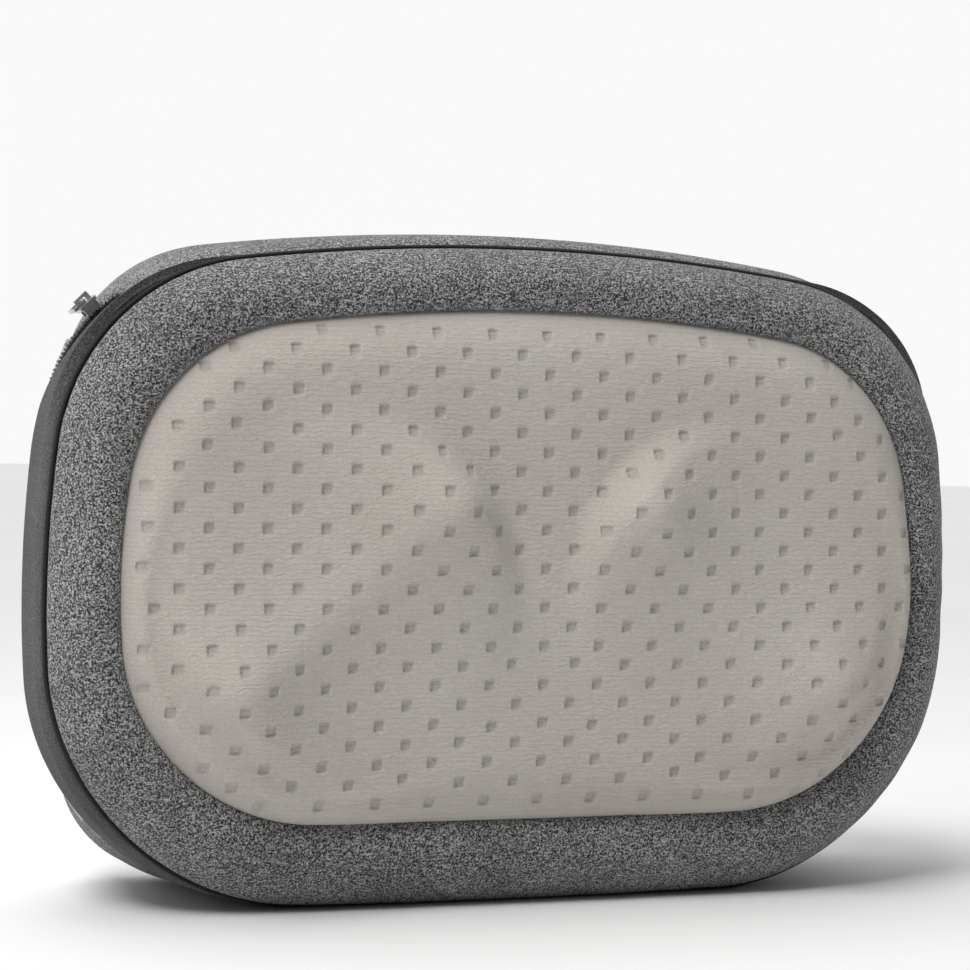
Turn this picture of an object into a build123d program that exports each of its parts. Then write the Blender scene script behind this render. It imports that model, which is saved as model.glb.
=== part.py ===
from build123d import *

import os
from collections import namedtuple
from math import atan2, cos, degrees, pi, radians, sin, sqrt

# Shiatsu neck massager pillow: a soft outer case round a moulded housing, in which one
# motor with a worm at each end turns two arms the opposite way to each other, and each
# arm carries two massage nodes that spin freely. +X is the width, the massaging face
# looks along -Y, and the pillow stands on its long bottom edge at Z = 0.
os.makedirs("parts", exist_ok=True)

# ---------------------------------------------------------------- overall sizes
pillow_width = 330.0        # across the seam of the massaging face
pillow_height = 224.0
pillow_depth = 120.0
front_y = -pillow_depth / 2
back_y = pillow_depth / 2
half_width = pillow_width / 2

# ---------------------------------------------------------------- soft case
fabric = 2.5                # padded cover fabric
mesh = 3.0                  # mesh panel with its backing
liner = 1.0                 # slippery lining under the mesh
soft_gap = 0.3              # between neighbouring soft layers
seam_y = front_y + 40.0     # where the border meets the side band
border_crown_y = seam_y - 18.0
panel_edge_y = seam_y - 14.0
border_side = 20.0          # border width at the sides and the top
border_base = 28.0          # border width along the bottom
band_bulge = 1.0            # how far the side band stands out past the seam
band_flat = (seam_y + 12.0, seam_y + 35.0)
block_y = seam_y + 40.0     # where the rear block starts
shoulder = 15.0             # how much narrower the rear block is at each side
back_taper = 12.0           # how much the rear block draws in towards the back

# ---------------------------------------------------------------- zip
zip_slot = 7.0              # opening between the two tapes
zip_y = seam_y + 28.0
coil_width = 4.0
coil_height = 2.0
zip_end_z = pillow_height - 19.0
slider_angle = 45.0         # rest place of the slider round the upper left corner
slider_travel = 40.0        # degrees, down to where the corner runs out
slider_length = 8.0
slider_gap = 0.5            # slider plate above the tapes
flange_gap = 0.4            # slider flanges from the coil and from the tapes
flange = 0.7
pull_size = 6.4
pull_bar = 1.1

# ---------------------------------------------------------------- housing
foam_side = 8.0             # foam between the rear cover and the housing sides
foam_back = 7.2
housing_wall = 2.5
housing_back_wall = 4.0
housing_corner = 34.0
plate_y = (-3.0, 0.0)       # front housing plate
collar_depth = 11.0
well_gap = 1.2              # between the nodes' sweep and the collar round it
boss_radius = 4.5
boss_inset = (24.0, 18.0)   # corner screw bosses in from the housing's sides, and up or down
screw_radius = 1.5
screw_clearance = 0.05
head_radius = 2.8
head_height = 2.0

# ---------------------------------------------------------------- massage gear
node_radius = 16.0
node_clearance = 4.0        # from the nodes' sweep to the foam round them
disc_gap = 9.0              # from the centre line to each sweep
disc_drop = 6.0             # the discs sit this far below the middle of the face
node_tilt = 40.0            # rest angle of each arm, rising towards the middle
node_tip_y = front_y + 5.5
arm_y = (-12.0, -5.0)
pin_radius = 3.0
pin_tip_y = -44.0
running_gap = 0.08          # radial, every shaft or pin in its bore
hub_radius = 14.0
arm_width = 17.0

module = 1.5
wheel_teeth = 40
wheel_width = 10.0
wheel_y = 20.0              # middle of the worm wheels and the worms
worm_pitch_radius = 6.5
worm_turns = 5              # odd, so that a thread faces the wheel's gap
worm_length = 26.0
tooth_half = 0.8            # half a tooth at the pitch line, worm and wheel alike
shaft_outer = 6.0
shaft_bore = 4.2
post_radius = 3.8
lamp_radius = 8.0
lamp_height = 9.0

gear_cover_y = (8.0, 11.0)
gear_base_y = (30.0, 33.0)
bush_wall = 2.5
plate_margin = 5.0

motor_radius = 18.0
motor_length = 57.0
can_wall = 1.2
magnet_thickness = 3.6
air_gap = 0.5
drive_radius = 2.5          # motor shaft

# ---------------------------------------------------------------- controls
button_travel = 1.2
bezel_size = (20.0, 56.0)   # along Y and Z
bezel_plate = 2.5
bezel_y = 37.0
bezel_z = 60.0
button_size = (11.0, 16.0)
button_gap = 0.3
jack_radius = 5.5
jack_flange = 7.5
jack_bore = 3.1
board_thickness = 1.6

# ---------------------------------------------------------------- worked out
Section = namedtuple("Section", "y half_width bottom top corner side_bow top_bow")


def inset(section, amount, push=0.0):
    """The same outline drawn in by amount all round, and moved along Y by push."""
    return Section(section.y + push, section.half_width - amount, section.bottom + amount,
                   section.top - amount, section.corner - amount, section.side_bow, section.top_bow)


def outline(section):
    """One rounded pillow outline as a face at the section's depth."""
    low, high = section.bottom, section.top - section.top_bow
    corner_x = section.half_width - section.side_bow
    middle = (low + high) / 2
    with BuildSketch(Plane.XZ.offset(-section.y)) as face:
        with BuildLine():
            Line((-corner_x, low), (corner_x, low))
            ThreePointArc((corner_x, low), (section.half_width, middle), (corner_x, high))
            ThreePointArc((corner_x, high), (0, section.top), (-corner_x, high))
            ThreePointArc((-corner_x, high), (-section.half_width, middle), (-corner_x, low))
        make_face()
        fillet(face.vertices(), section.corner)
    return face.sketch


def moved(section, y):
    return section._replace(y=y)


top, middle_z = pillow_height, pillow_height / 2
seam = Section(seam_y, half_width, 0, top, 62, 12, 14)
border_front = [
    seam,
    Section(seam_y - 10, half_width - 5, 4, top - 4, 60, 12, 14),
    Section(border_crown_y, half_width - 14, 13, top - 12, 56, 12, 14),
]
panel_edge = Section(panel_edge_y, half_width - border_side, border_base,
                     top - border_side, 56, 12, 14)
panel_front = [panel_edge, inset(panel_edge, 8, front_y + 5 - panel_edge_y),
               inset(panel_edge, 20, front_y - panel_edge_y)]
band = [
    seam,
    Section(band_flat[0], half_width + band_bulge, 0, top, 58, 12, 14),
    Section(band_flat[1], half_width + band_bulge, 0, top, 58, 12, 14),
    Section(block_y, half_width - 2, 0, top, 50, 10, 12),
]
rear = [
    band[-1],
    Section(block_y + 7, half_width - shoulder, 0, top, 40, 8, 10),
    Section(back_y - 14, half_width - shoulder - 1, 0, top - 2, 40, 8, 10),
    Section(back_y, half_width - shoulder - 1 - back_taper, 12, top - 16, 34, 8, 10),
]
housing = Section(0, half_width - shoulder - fabric - foam_side - 1.5, 13, top - 16,
                  housing_corner, 8, 10)
housing_back_y = back_y - fabric - foam_back - soft_gap
housing_inner_y = housing_back_y - housing_back_wall
housing_side_x = housing.half_width

# The discs are the largest pair of sweeps that fit side by side in the face.
disc_z = middle_z - disc_drop
foam_opening = inset(panel_edge, mesh + liner + 2 * soft_gap + 2.7)
room_across = foam_opening.half_width - node_clearance
room_down = disc_z - foam_opening.bottom - node_clearance
disc_sweep = min((room_across - disc_gap) / 2, room_down)
disc_x = room_across - disc_sweep
node_orbit = disc_sweep - node_radius
wheel_radius = module * wheel_teeth / 2
shaft_z = disc_z + wheel_radius + worm_pitch_radius
axial_pitch = pi * module
sides = (("left", -1), ("right", 1))


def disc_plane(side, y):
    """Plane across the disc's axis at depth y, looking forward, local x along +X."""
    return Plane.XZ.offset(-y).shift_origin((side * disc_x, y, disc_z))


def node_points(side):
    """The two node centres in the disc plane, the outer low one first."""
    across, up = node_orbit * cos(radians(node_tilt)), node_orbit * sin(radians(node_tilt))
    return [(side * across, -up), (-side * across, up)]


def save(part, label):
    part.label = label
    export_step(part, f"parts/{label}.step")


def loft_through(sections, mode=Mode.ADD):
    loft([outline(s) for s in sections], ruled=True, mode=mode)


# ================================================================ soft case
with BuildPart() as front_mesh_panel:
    loft_through(panel_front)
    loft_through([inset(panel_front[0], mesh), inset(panel_front[1], mesh, mesh * 0.7),
                  inset(panel_front[2], mesh, mesh)], mode=Mode.SUBTRACT)
save(front_mesh_panel.part, "front_mesh_panel")

lining_gap = mesh + soft_gap
with BuildPart() as inner_liner:
    loft_through([inset(panel_front[0], lining_gap), inset(panel_front[1], lining_gap, lining_gap * 0.7),
                  inset(panel_front[2], lining_gap, lining_gap)])
    lining_inside = lining_gap + liner
    loft_through([inset(panel_front[0], lining_inside),
                  inset(panel_front[1], lining_inside, lining_inside * 0.8),
                  inset(panel_front[2], lining_inside, lining_inside)], mode=Mode.SUBTRACT)
save(inner_liner.part, "inner_liner")

panel_hole = inset(panel_edge, -soft_gap)
with BuildPart() as front_border_fabric:
    loft_through(border_front)
    loft_through([inset(border_front[0], fabric), inset(border_front[1], fabric, fabric * 0.3),
                  inset(border_front[2], fabric, fabric)], mode=Mode.SUBTRACT)
    extrude(outline(panel_hole), amount=pillow_depth, both=True, mode=Mode.SUBTRACT)
save(front_border_fabric.part, "front_border_fabric")

with BuildPart() as band_ring:
    loft_through(band)
    loft_through([inset(s, fabric) for s in band], mode=Mode.SUBTRACT)

band_middle = moved(band[1], zip_y)
above_zip = Plane.XY.offset(zip_end_z)
with BuildPart() as zipper_tapes:
    add(band_ring.part)
    split(bisect_by=above_zip, keep=Keep.BOTTOM)
    extrude(outline(inset(band_middle, -fabric)), amount=zip_slot / 2, both=True, mode=Mode.SUBTRACT)
save(zipper_tapes.part, "zipper_tapes")

with BuildPart() as zipper_coil:
    extrude(outline(inset(band_middle, soft_gap)), amount=coil_width / 2, both=True)
    extrude(outline(inset(band_middle, soft_gap + coil_height)), amount=coil_width / 2, both=True,
            mode=Mode.SUBTRACT)
    split(bisect_by=above_zip, keep=Keep.BOTTOM)
save(zipper_coil.part, "zipper_coil")

with BuildPart() as top_gusset:
    add(band_ring.part)
    split(bisect_by=Plane.XY.offset(zip_end_z + soft_gap), keep=Keep.TOP)

# The controls sit in a tube through the soft side, with a moulded plate outside it.
housing_pad_x = housing_side_x + 1.0
bezel_x = half_width - shoulder + soft_gap
tube_size = (bezel_size[0] - 3.0, bezel_size[1] - 4.0)
tube_wall = 1.5
bezel_plane = Plane.YZ.shift_origin((0, bezel_y, bezel_z))


def along_x(start, size, corner, length, mode=Mode.ADD):
    """A block with rounded edges along X, on the controls' centre line."""
    with BuildSketch(bezel_plane.offset(start)) as face:
        RectangleRounded(size[0], size[1], corner)
    extrude(face.sketch, amount=length, mode=mode)


def around_tube(gap, start, mode=Mode.SUBTRACT):
    along_x(start, (tube_size[0] + 2 * gap, tube_size[1] + 2 * gap), 3.0 + gap, half_width, mode)


with BuildPart() as rear_cover_fabric:
    loft_through(rear)
    rear_inside = [inset(s, fabric) for s in rear[:3]] + [inset(rear[3], fabric, -fabric)]
    loft_through(rear_inside, mode=Mode.SUBTRACT)
    add(top_gusset.part)
    around_tube(soft_gap, housing_side_x)
save(rear_cover_fabric.part, "rear_cover_fabric")

# ================================================================ foam
foam_skin = fabric + soft_gap
foam_split_y = plate_y[0]
with BuildPart() as front_foam_ring:
    loft_through([moved(inset(band[1], foam_skin), foam_split_y), moved(inset(band[1], foam_skin), band_flat[0]),
                  inset(seam, foam_skin), inset(border_front[1], foam_skin, foam_skin * 0.3),
                  inset(border_front[2], foam_skin, foam_skin)])
    extrude(outline(foam_opening), amount=pillow_depth, both=True, mode=Mode.SUBTRACT)
    extrude(outline(inset(panel_edge, -2 * soft_gap)), amount=pillow_depth, mode=Mode.SUBTRACT)
save(front_foam_ring.part, "front_foam_ring")

with BuildPart() as rear_foam_pad:
    foam_sections = [moved(inset(band[1], foam_skin), foam_split_y + soft_gap),
                     inset(band[2], foam_skin), inset(band[3], foam_skin),
                     inset(rear[1], foam_skin), inset(rear[2], foam_skin),
                     inset(rear[3], foam_skin, -foam_skin)]
    loft_through(foam_sections)
    extrude(outline(moved(inset(housing, -soft_gap), housing_back_y + soft_gap)),
            amount=pillow_depth, mode=Mode.SUBTRACT)
    along_x(0, (bezel_size[0] + 6, bezel_size[1] + 6), 4.0, housing_pad_x + soft_gap, Mode.SUBTRACT)
    around_tube(soft_gap, 0)
save(rear_foam_pad.part, "rear_foam_pad")

# ================================================================ housing
housing_bosses = [(side * across, up)
                  for side in (-1, 1)
                  for across, up in ((housing_side_x - boss_inset[0], housing.bottom + boss_inset[1]),
                                     (housing_side_x - 9, disc_z + 20),
                                     (housing_side_x - boss_inset[0], housing.top - boss_inset[1]))]
mount_reach = (disc_x + wheel_radius + 6, wheel_radius + 2)
mount_top = shaft_z - disc_z + 16
mount_points = [(side * mount_reach[0], up) for side in (-1, 1) for up in (-mount_reach[1], mount_top)]
mount_radius, mount_height = 6.0, 3.0
gear_plane_back = Plane.XZ.offset(-gear_base_y[1]).shift_origin((0, gear_base_y[1], disc_z))

with BuildPart() as front_housing:
    extrude(outline(moved(housing, plate_y[1])), amount=plate_y[1] - plate_y[0])
    for _, side in sides:
        with BuildSketch(disc_plane(side, plate_y[0])):
            Circle(disc_sweep + well_gap + housing_wall)
            Circle(disc_sweep + well_gap, mode=Mode.SUBTRACT)
        extrude(amount=collar_depth)
        with BuildSketch(disc_plane(side, plate_y[1])):
            Circle(shaft_outer + 2.0)
        extrude(amount=plate_y[1] - plate_y[0], mode=Mode.SUBTRACT)
    with BuildSketch(Plane.XZ.offset(-plate_y[1])):
        with Locations(*housing_bosses):
            Circle(boss_radius)
    extrude(amount=plate_y[1] - housing_inner_y)
    with BuildSketch(Plane.XZ.offset(-housing_inner_y)):
        with Locations(*housing_bosses):
            Circle(screw_radius)
    extrude(amount=20, mode=Mode.SUBTRACT)
save(front_housing.part, "front_housing")

wire_hole_y, wire_hole_z = bezel_y - 3.5, bezel_z + 4.0
pad_thickness = 8.0
with BuildPart() as rear_housing:
    extrude(outline(moved(housing, housing_back_y)), amount=housing_back_y - plate_y[1])
    extrude(outline(moved(inset(housing, housing_wall), housing_inner_y)),
            amount=housing_inner_y - plate_y[1], mode=Mode.SUBTRACT)
    along_x(housing_pad_x - pad_thickness, (bezel_size[0] + 4, bezel_size[1] + 4), 3.0, pad_thickness)
    with BuildSketch(Plane.YZ.offset(housing_pad_x - pad_thickness)):
        with Locations((wire_hole_y, wire_hole_z)):
            Circle(3.0)
    extrude(amount=pad_thickness, mode=Mode.SUBTRACT)
    with BuildSketch(Plane.XZ.offset(-housing_inner_y)):
        with Locations(*[(x, up + disc_z) for x, up in mount_points]):
            Circle(mount_radius)
    extrude(amount=housing_inner_y - gear_base_y[1] - mount_height)
    with BuildSketch(Plane.XZ.offset(-gear_base_y[1] - mount_height)):
        with Locations(*[(x, up + disc_z) for x, up in mount_points]):
            Circle(screw_radius)
    extrude(amount=gear_base_y[1] + mount_height - housing_inner_y, mode=Mode.SUBTRACT)
    with BuildSketch(Plane.XZ.offset(-housing_back_y)):
        with Locations(*housing_bosses):
            Circle(screw_radius + screw_clearance)
    extrude(amount=housing_back_wall, mode=Mode.SUBTRACT)
    with BuildSketch(Plane.XZ.offset(-housing_back_y)):
        with Locations(*housing_bosses):
            Circle(head_radius + soft_gap)
    extrude(amount=head_height, mode=Mode.SUBTRACT)
save(rear_housing.part, "rear_housing")


def screws(label, face, points, length, inward=1, head=(head_radius, head_height)):
    """Pan head screws on a plane, heads outside it, shanks going in against its normal."""
    with BuildPart() as screw_set:
        with BuildSketch(face):
            with Locations(*points):
                Circle(head[0])
        extrude(amount=inward * head[1])
        with BuildSketch(face):
            with Locations(*points):
                Circle(screw_radius)
        extrude(amount=-inward * length)
        with BuildSketch(face.offset(inward * head[1])):
            with Locations(*points):
                Rectangle(head[0] * 1.3, 0.7)
        extrude(amount=-inward * head[1] / 2, mode=Mode.SUBTRACT)
    save(screw_set.part, label)


back_head_plane = Plane.ZX.offset(housing_back_y - head_height)
screws("housing_screws", back_head_plane, [(up, x) for x, up in housing_bosses],
       housing_back_wall - head_height + 14)

# ================================================================ gear case
plate_reach_x = mount_reach[0] + mount_radius + plate_margin
window = (motor_length + 6, 2 * motor_radius + 4)
window_up = shaft_z - disc_z
plate_low = -mount_reach[1] - mount_radius - 2
plate_high = window_up + window[1] / 2 + 12
post_points = [(side * (disc_x + across), up) for side in (-1, 1)
               for across, up in ((wheel_radius - 5, -wheel_radius + 2), (-wheel_radius + 2, -wheel_radius + 2),
                                  (-wheel_radius + 12, window_up + 15))]
clamp_wall, clamp_width, clamp_foot = 1.5, 16.0, 9.0
clamp_points = [(0, window_up + side * (window[1] / 2 + clamp_foot / 2)) for side in (-1, 1)]
post_boss = 4.0


def gear_plate(y_range):
    """Flat plate of the gear case, with the motor window and the two bush holes."""
    with BuildSketch(Plane.XZ.offset(-y_range[1]).shift_origin((0, y_range[1], disc_z))) as face:
        with Locations((0, (plate_low + plate_high) / 2)):
            RectangleRounded(2 * plate_reach_x, plate_high - plate_low, 8)
        with Locations((0, window_up)):
            Rectangle(*window, mode=Mode.SUBTRACT)
        with Locations((-disc_x, 0), (disc_x, 0)):
            Circle(shaft_outer + running_gap + bush_wall, mode=Mode.SUBTRACT)
    extrude(face.sketch, amount=y_range[1] - y_range[0])


with BuildPart() as gearbox_base:
    gear_plate(gear_base_y)
    base_front = Plane.XZ.offset(-gear_base_y[0]).shift_origin((0, gear_base_y[0], disc_z))
    with BuildSketch(base_front):
        with Locations(*post_points, *clamp_points):
            Circle(post_boss)
    extrude(amount=gear_base_y[0] - gear_cover_y[1])
    with BuildSketch(base_front):
        with Locations(*post_points, *clamp_points):
            Circle(screw_radius)
    extrude(amount=gear_base_y[0] - gear_cover_y[1], mode=Mode.SUBTRACT)
    with BuildSketch(base_front):
        with Locations(*mount_points):
            Circle(screw_radius + screw_clearance)
    extrude(amount=gear_base_y[0] - gear_base_y[1], mode=Mode.SUBTRACT)
    bearing_up = window_up
    bearing_x = disc_x + worm_length / 2 + 5.5
    for side in (-1, 1):
        with BuildSketch(base_front):
            with Locations((side * bearing_x, bearing_up)):
                Rectangle(6, 16)
        extrude(amount=gear_base_y[0] - wheel_y + 8)
        with BuildSketch(Plane.YZ.offset(side * bearing_x).shift_origin((side * bearing_x, wheel_y, shaft_z))):
            Circle(drive_radius + running_gap + 1.5)
        extrude(amount=3, both=True, mode=Mode.SUBTRACT)
save(gearbox_base.part, "gearbox_base")

with BuildPart() as gearbox_cover:
    gear_plate(gear_cover_y)
    cover_front = Plane.XZ.offset(-gear_cover_y[0]).shift_origin((0, gear_cover_y[0], disc_z))
    with BuildSketch(cover_front):
        with Locations(*post_points, *clamp_points):
            Circle(screw_radius + screw_clearance)
    extrude(amount=gear_cover_y[0] - gear_cover_y[1], mode=Mode.SUBTRACT)
save(gearbox_cover.part, "gearbox_cover")

screws("gearbox_screws", cover_front, post_points, gear_cover_y[1] - gear_cover_y[0] + 10)
screws("mount_screws", base_front, mount_points, gear_base_y[1] - gear_base_y[0] + mount_height + 6)

with BuildPart() as rubber_mounts:
    with BuildSketch(Plane.XZ.offset(-gear_base_y[1] - mount_height).shift_origin(
            (0, gear_base_y[1] + mount_height, disc_z))):
        with Locations(*mount_points):
            Circle(mount_radius)
            Circle(screw_radius + screw_clearance, mode=Mode.SUBTRACT)
    extrude(amount=mount_height)
save(rubber_mounts.part, "rubber_mounts")

with BuildPart() as output_bushes:
    for _, side in sides:
        for y_range, flange_y in ((gear_cover_y, gear_cover_y[1]), (gear_base_y, gear_base_y[0] - 1)):
            with BuildSketch(disc_plane(side, y_range[1])):
                Circle(shaft_outer + running_gap + bush_wall)
            extrude(amount=y_range[1] - y_range[0])
            with BuildSketch(disc_plane(side, flange_y + 1)):
                Circle(shaft_outer + running_gap + bush_wall + 2)
            extrude(amount=1)
        with BuildSketch(disc_plane(side, gear_base_y[1])):
            Circle(shaft_outer + running_gap)
        extrude(amount=gear_base_y[1] - gear_cover_y[0] + 1, mode=Mode.SUBTRACT)
save(output_bushes.part, "output_bushes")

# ================================================================ motor
shaft_plane = Plane.YZ.shift_origin((0, wheel_y, shaft_z))


def ring_x(start, length, outer, inner=0.0, mode=Mode.ADD):
    """A ring about the motor shaft, from X = start."""
    with BuildSketch(shaft_plane.offset(start)) as face:
        Circle(outer)
        if inner:
            Circle(inner, mode=Mode.SUBTRACT)
    extrude(face.sketch, amount=length, mode=mode)


cap_thickness = 3.0
can_half = motor_length / 2 - cap_thickness
with BuildPart() as motor_can:
    ring_x(-can_half, 2 * can_half, motor_radius, motor_radius - can_wall)
save(motor_can.part, "motor_can")

with BuildPart() as motor_end_caps:
    for side in (-1, 1):
        ring_x(side * can_half, side * cap_thickness, motor_radius, drive_radius + running_gap)
        ring_x(side * (can_half + cap_thickness), side * 2.5, 6.0, drive_radius + running_gap)
save(motor_end_caps.part, "motor_end_caps")

magnet_outer = motor_radius - can_wall
core_radius = magnet_outer - magnet_thickness - air_gap
core_half = can_half - 12.0
with BuildPart() as motor_magnets:
    ring_x(-core_half - 2, 2 * core_half + 4, magnet_outer, magnet_outer - magnet_thickness)
    with BuildSketch(shaft_plane.offset(-core_half - 3)):
        Rectangle(2 * motor_radius, 12)
    extrude(amount=2 * core_half + 6, mode=Mode.SUBTRACT)
save(motor_magnets.part, "motor_magnets")

rotor_slots = 7
with BuildPart() as motor_rotor:
    ring_x(-core_half, 2 * core_half, core_radius)
    with BuildSketch(shaft_plane.offset(-core_half)):
        with PolarLocations(core_radius - 3.0, rotor_slots):
            Rectangle(7.0, 1.6)
    extrude(amount=2 * core_half, mode=Mode.SUBTRACT)
    ring_x(-core_half - 4, 2 * core_half + 8, core_radius - 4.0)
    ring_x(-core_half - 4, 2 * core_half + 8, drive_radius, mode=Mode.SUBTRACT)
save(motor_rotor.part, "motor_rotor")

commutator_radius = 5.0
commutator_x = core_half + 4.5
with BuildPart() as commutator:
    ring_x(commutator_x, 6.0, commutator_radius, drive_radius)
    with BuildSketch(shaft_plane.offset(commutator_x)):
        with PolarLocations(commutator_radius, rotor_slots):
            Rectangle(1.6, 0.5)
    extrude(amount=6.0, mode=Mode.SUBTRACT)
save(commutator.part, "commutator")

with BuildPart() as motor_brushes:
    for side in (-1, 1):
        with BuildSketch(shaft_plane.offset(commutator_x + 1.0)):
            with Locations((0, side * (commutator_radius + soft_gap + 3.0))):
                Rectangle(4.0, 6.0)
        extrude(amount=can_half - commutator_x - 1.0)
save(motor_brushes.part, "motor_brushes")

shaft_end = bearing_x + 4.0
with BuildPart() as motor_shaft:
    ring_x(-shaft_end, 2 * shaft_end, drive_radius)
    chamfer(motor_shaft.edges().filter_by(GeomType.CIRCLE), 0.4)
save(motor_shaft.part, "motor_shaft")

with BuildPart() as shaft_bushes:
    for side in (-1, 1):
        ring_x(side * bearing_x - 3, 6, drive_radius + running_gap + 1.5, drive_radius + running_gap)
save(shaft_bushes.part, "shaft_bushes")

foot_start = motor_radius - 5.0
foot_end = window[1] / 2 + clamp_foot
clamp_face = cover_front.offset(clamp_wall)
with BuildPart() as motor_clamp:
    ring_x(-clamp_width / 2, clamp_width, motor_radius + clamp_wall)
    with BuildSketch(cover_front):
        Rectangle(pillow_width, pillow_height)
    extrude(amount=-pillow_depth, mode=Mode.SUBTRACT)
    with BuildSketch(cover_front):
        for side in (-1, 1):
            with Locations((0, window_up + side * (foot_start + foot_end) / 2)):
                Rectangle(clamp_width, foot_end - foot_start)
    extrude(amount=clamp_wall)
    with BuildSketch(cover_front):
        with Locations(*clamp_points):
            Circle(screw_radius + screw_clearance)
    extrude(amount=clamp_wall, mode=Mode.SUBTRACT)
    ring_x(-clamp_width, 2 * clamp_width, motor_radius, mode=Mode.SUBTRACT)
save(motor_clamp.part, "motor_clamp")
screws("clamp_screws", clamp_face, clamp_points, clamp_wall + gear_cover_y[1] - gear_cover_y[0] + 10)


# ================================================================ gears
worm_pitch_tan = axial_pitch / (2 * pi * worm_pitch_radius)
flank = radians(20)
worm_root = worm_pitch_radius - 1.25 * module
worm_tip = worm_pitch_radius + module
wheel_root = wheel_radius - 1.25 * module
wheel_tip = wheel_radius + module


def thread_half(depth):
    """Half width of a tooth at a height above its pitch line."""
    return tooth_half - depth * sin(flank) / cos(flank)


def barrel_arc(end, widest):
    """Three points of an arc from an end to the widest point, where it runs along the axis."""
    drop, length = widest[0] - end[0], end[1] - widest[1]
    radius = (length**2 + drop**2) / (2 * drop)
    half_turn = atan2(length, radius - drop) / 2
    through = (widest[0] - radius * (1 - cos(half_turn)), widest[1] + radius * sin(half_turn))
    return end, through, widest


def add_revolved(points_and_arcs, plane):
    """A turned piece: its half outline, radius by height, spun round the plane's normal."""
    half_plane = Plane(origin=plane.origin, x_dir=plane.x_dir, z_dir=-plane.y_dir)
    with BuildSketch(half_plane) as face:
        with BuildLine():
            for piece in points_and_arcs:
                if len(piece) == 3:
                    ThreePointArc(*piece)
                else:
                    Line(*piece)
        make_face()
    revolve(face.sketch, axis=Axis(plane.origin, plane.z_dir))


def make_worm(side):
    """Single start worm at one end of the motor shaft, the left one left-handed."""
    length = worm_turns * axial_pitch
    ring_x(side * disc_x - worm_length / 2, worm_length, worm_root)
    path = Helix(axial_pitch, length, worm_pitch_radius, lefthand=side < 0,
                 center=(side * disc_x - length / 2, wheel_y, shaft_z), direction=(1, 0, 0), mode=Mode.PRIVATE)
    start = path @ 0
    outward = Vector(0, start.Y - wheel_y, start.Z - shaft_z).normalized()
    sunk = worm_root - worm_pitch_radius - 0.3
    with BuildSketch(Plane(origin=start, x_dir=outward, z_dir=path % 0)) as tooth:
        with BuildLine():
            Polyline((sunk, -thread_half(sunk)), (module, -thread_half(module)),
                     (module, thread_half(module)), (sunk, thread_half(sunk)), close=True)
        make_face()
    sweep(tooth.sketch, path=path, is_frenet=True)
    ring_x(side * disc_x - worm_length / 2, worm_length, drive_radius, mode=Mode.SUBTRACT)


def wheel_face(side, along, twist):
    """Outline of a worm wheel at a distance along its axis, turned by twist degrees."""
    sunk = wheel_root - 0.5
    sunk_half = thread_half(sunk - wheel_radius)
    with BuildSketch() as tooth:
        with BuildLine():
            Polyline((sunk, -sunk_half), (wheel_tip, -thread_half(module)),
                     (wheel_tip, thread_half(module)), (sunk, sunk_half), close=True)
        make_face()
    with BuildSketch(disc_plane(side, wheel_y + along)) as face:
        Circle(wheel_root)
        with PolarLocations(0, wheel_teeth, start_angle=90 + 180 / wheel_teeth + twist):
            add(tooth.sketch)
    return face.sketch


twist = degrees(wheel_width * worm_pitch_tan / wheel_radius)
hub_y = (gear_cover_y[1] + 2.5, gear_base_y[0] - 2.5)
shaft_y = (arm_y[0] - 2.5, gear_base_y[1] + 1.5)
clip_y = arm_y[0] - 1.2
clip_groove = 0.8

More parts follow.
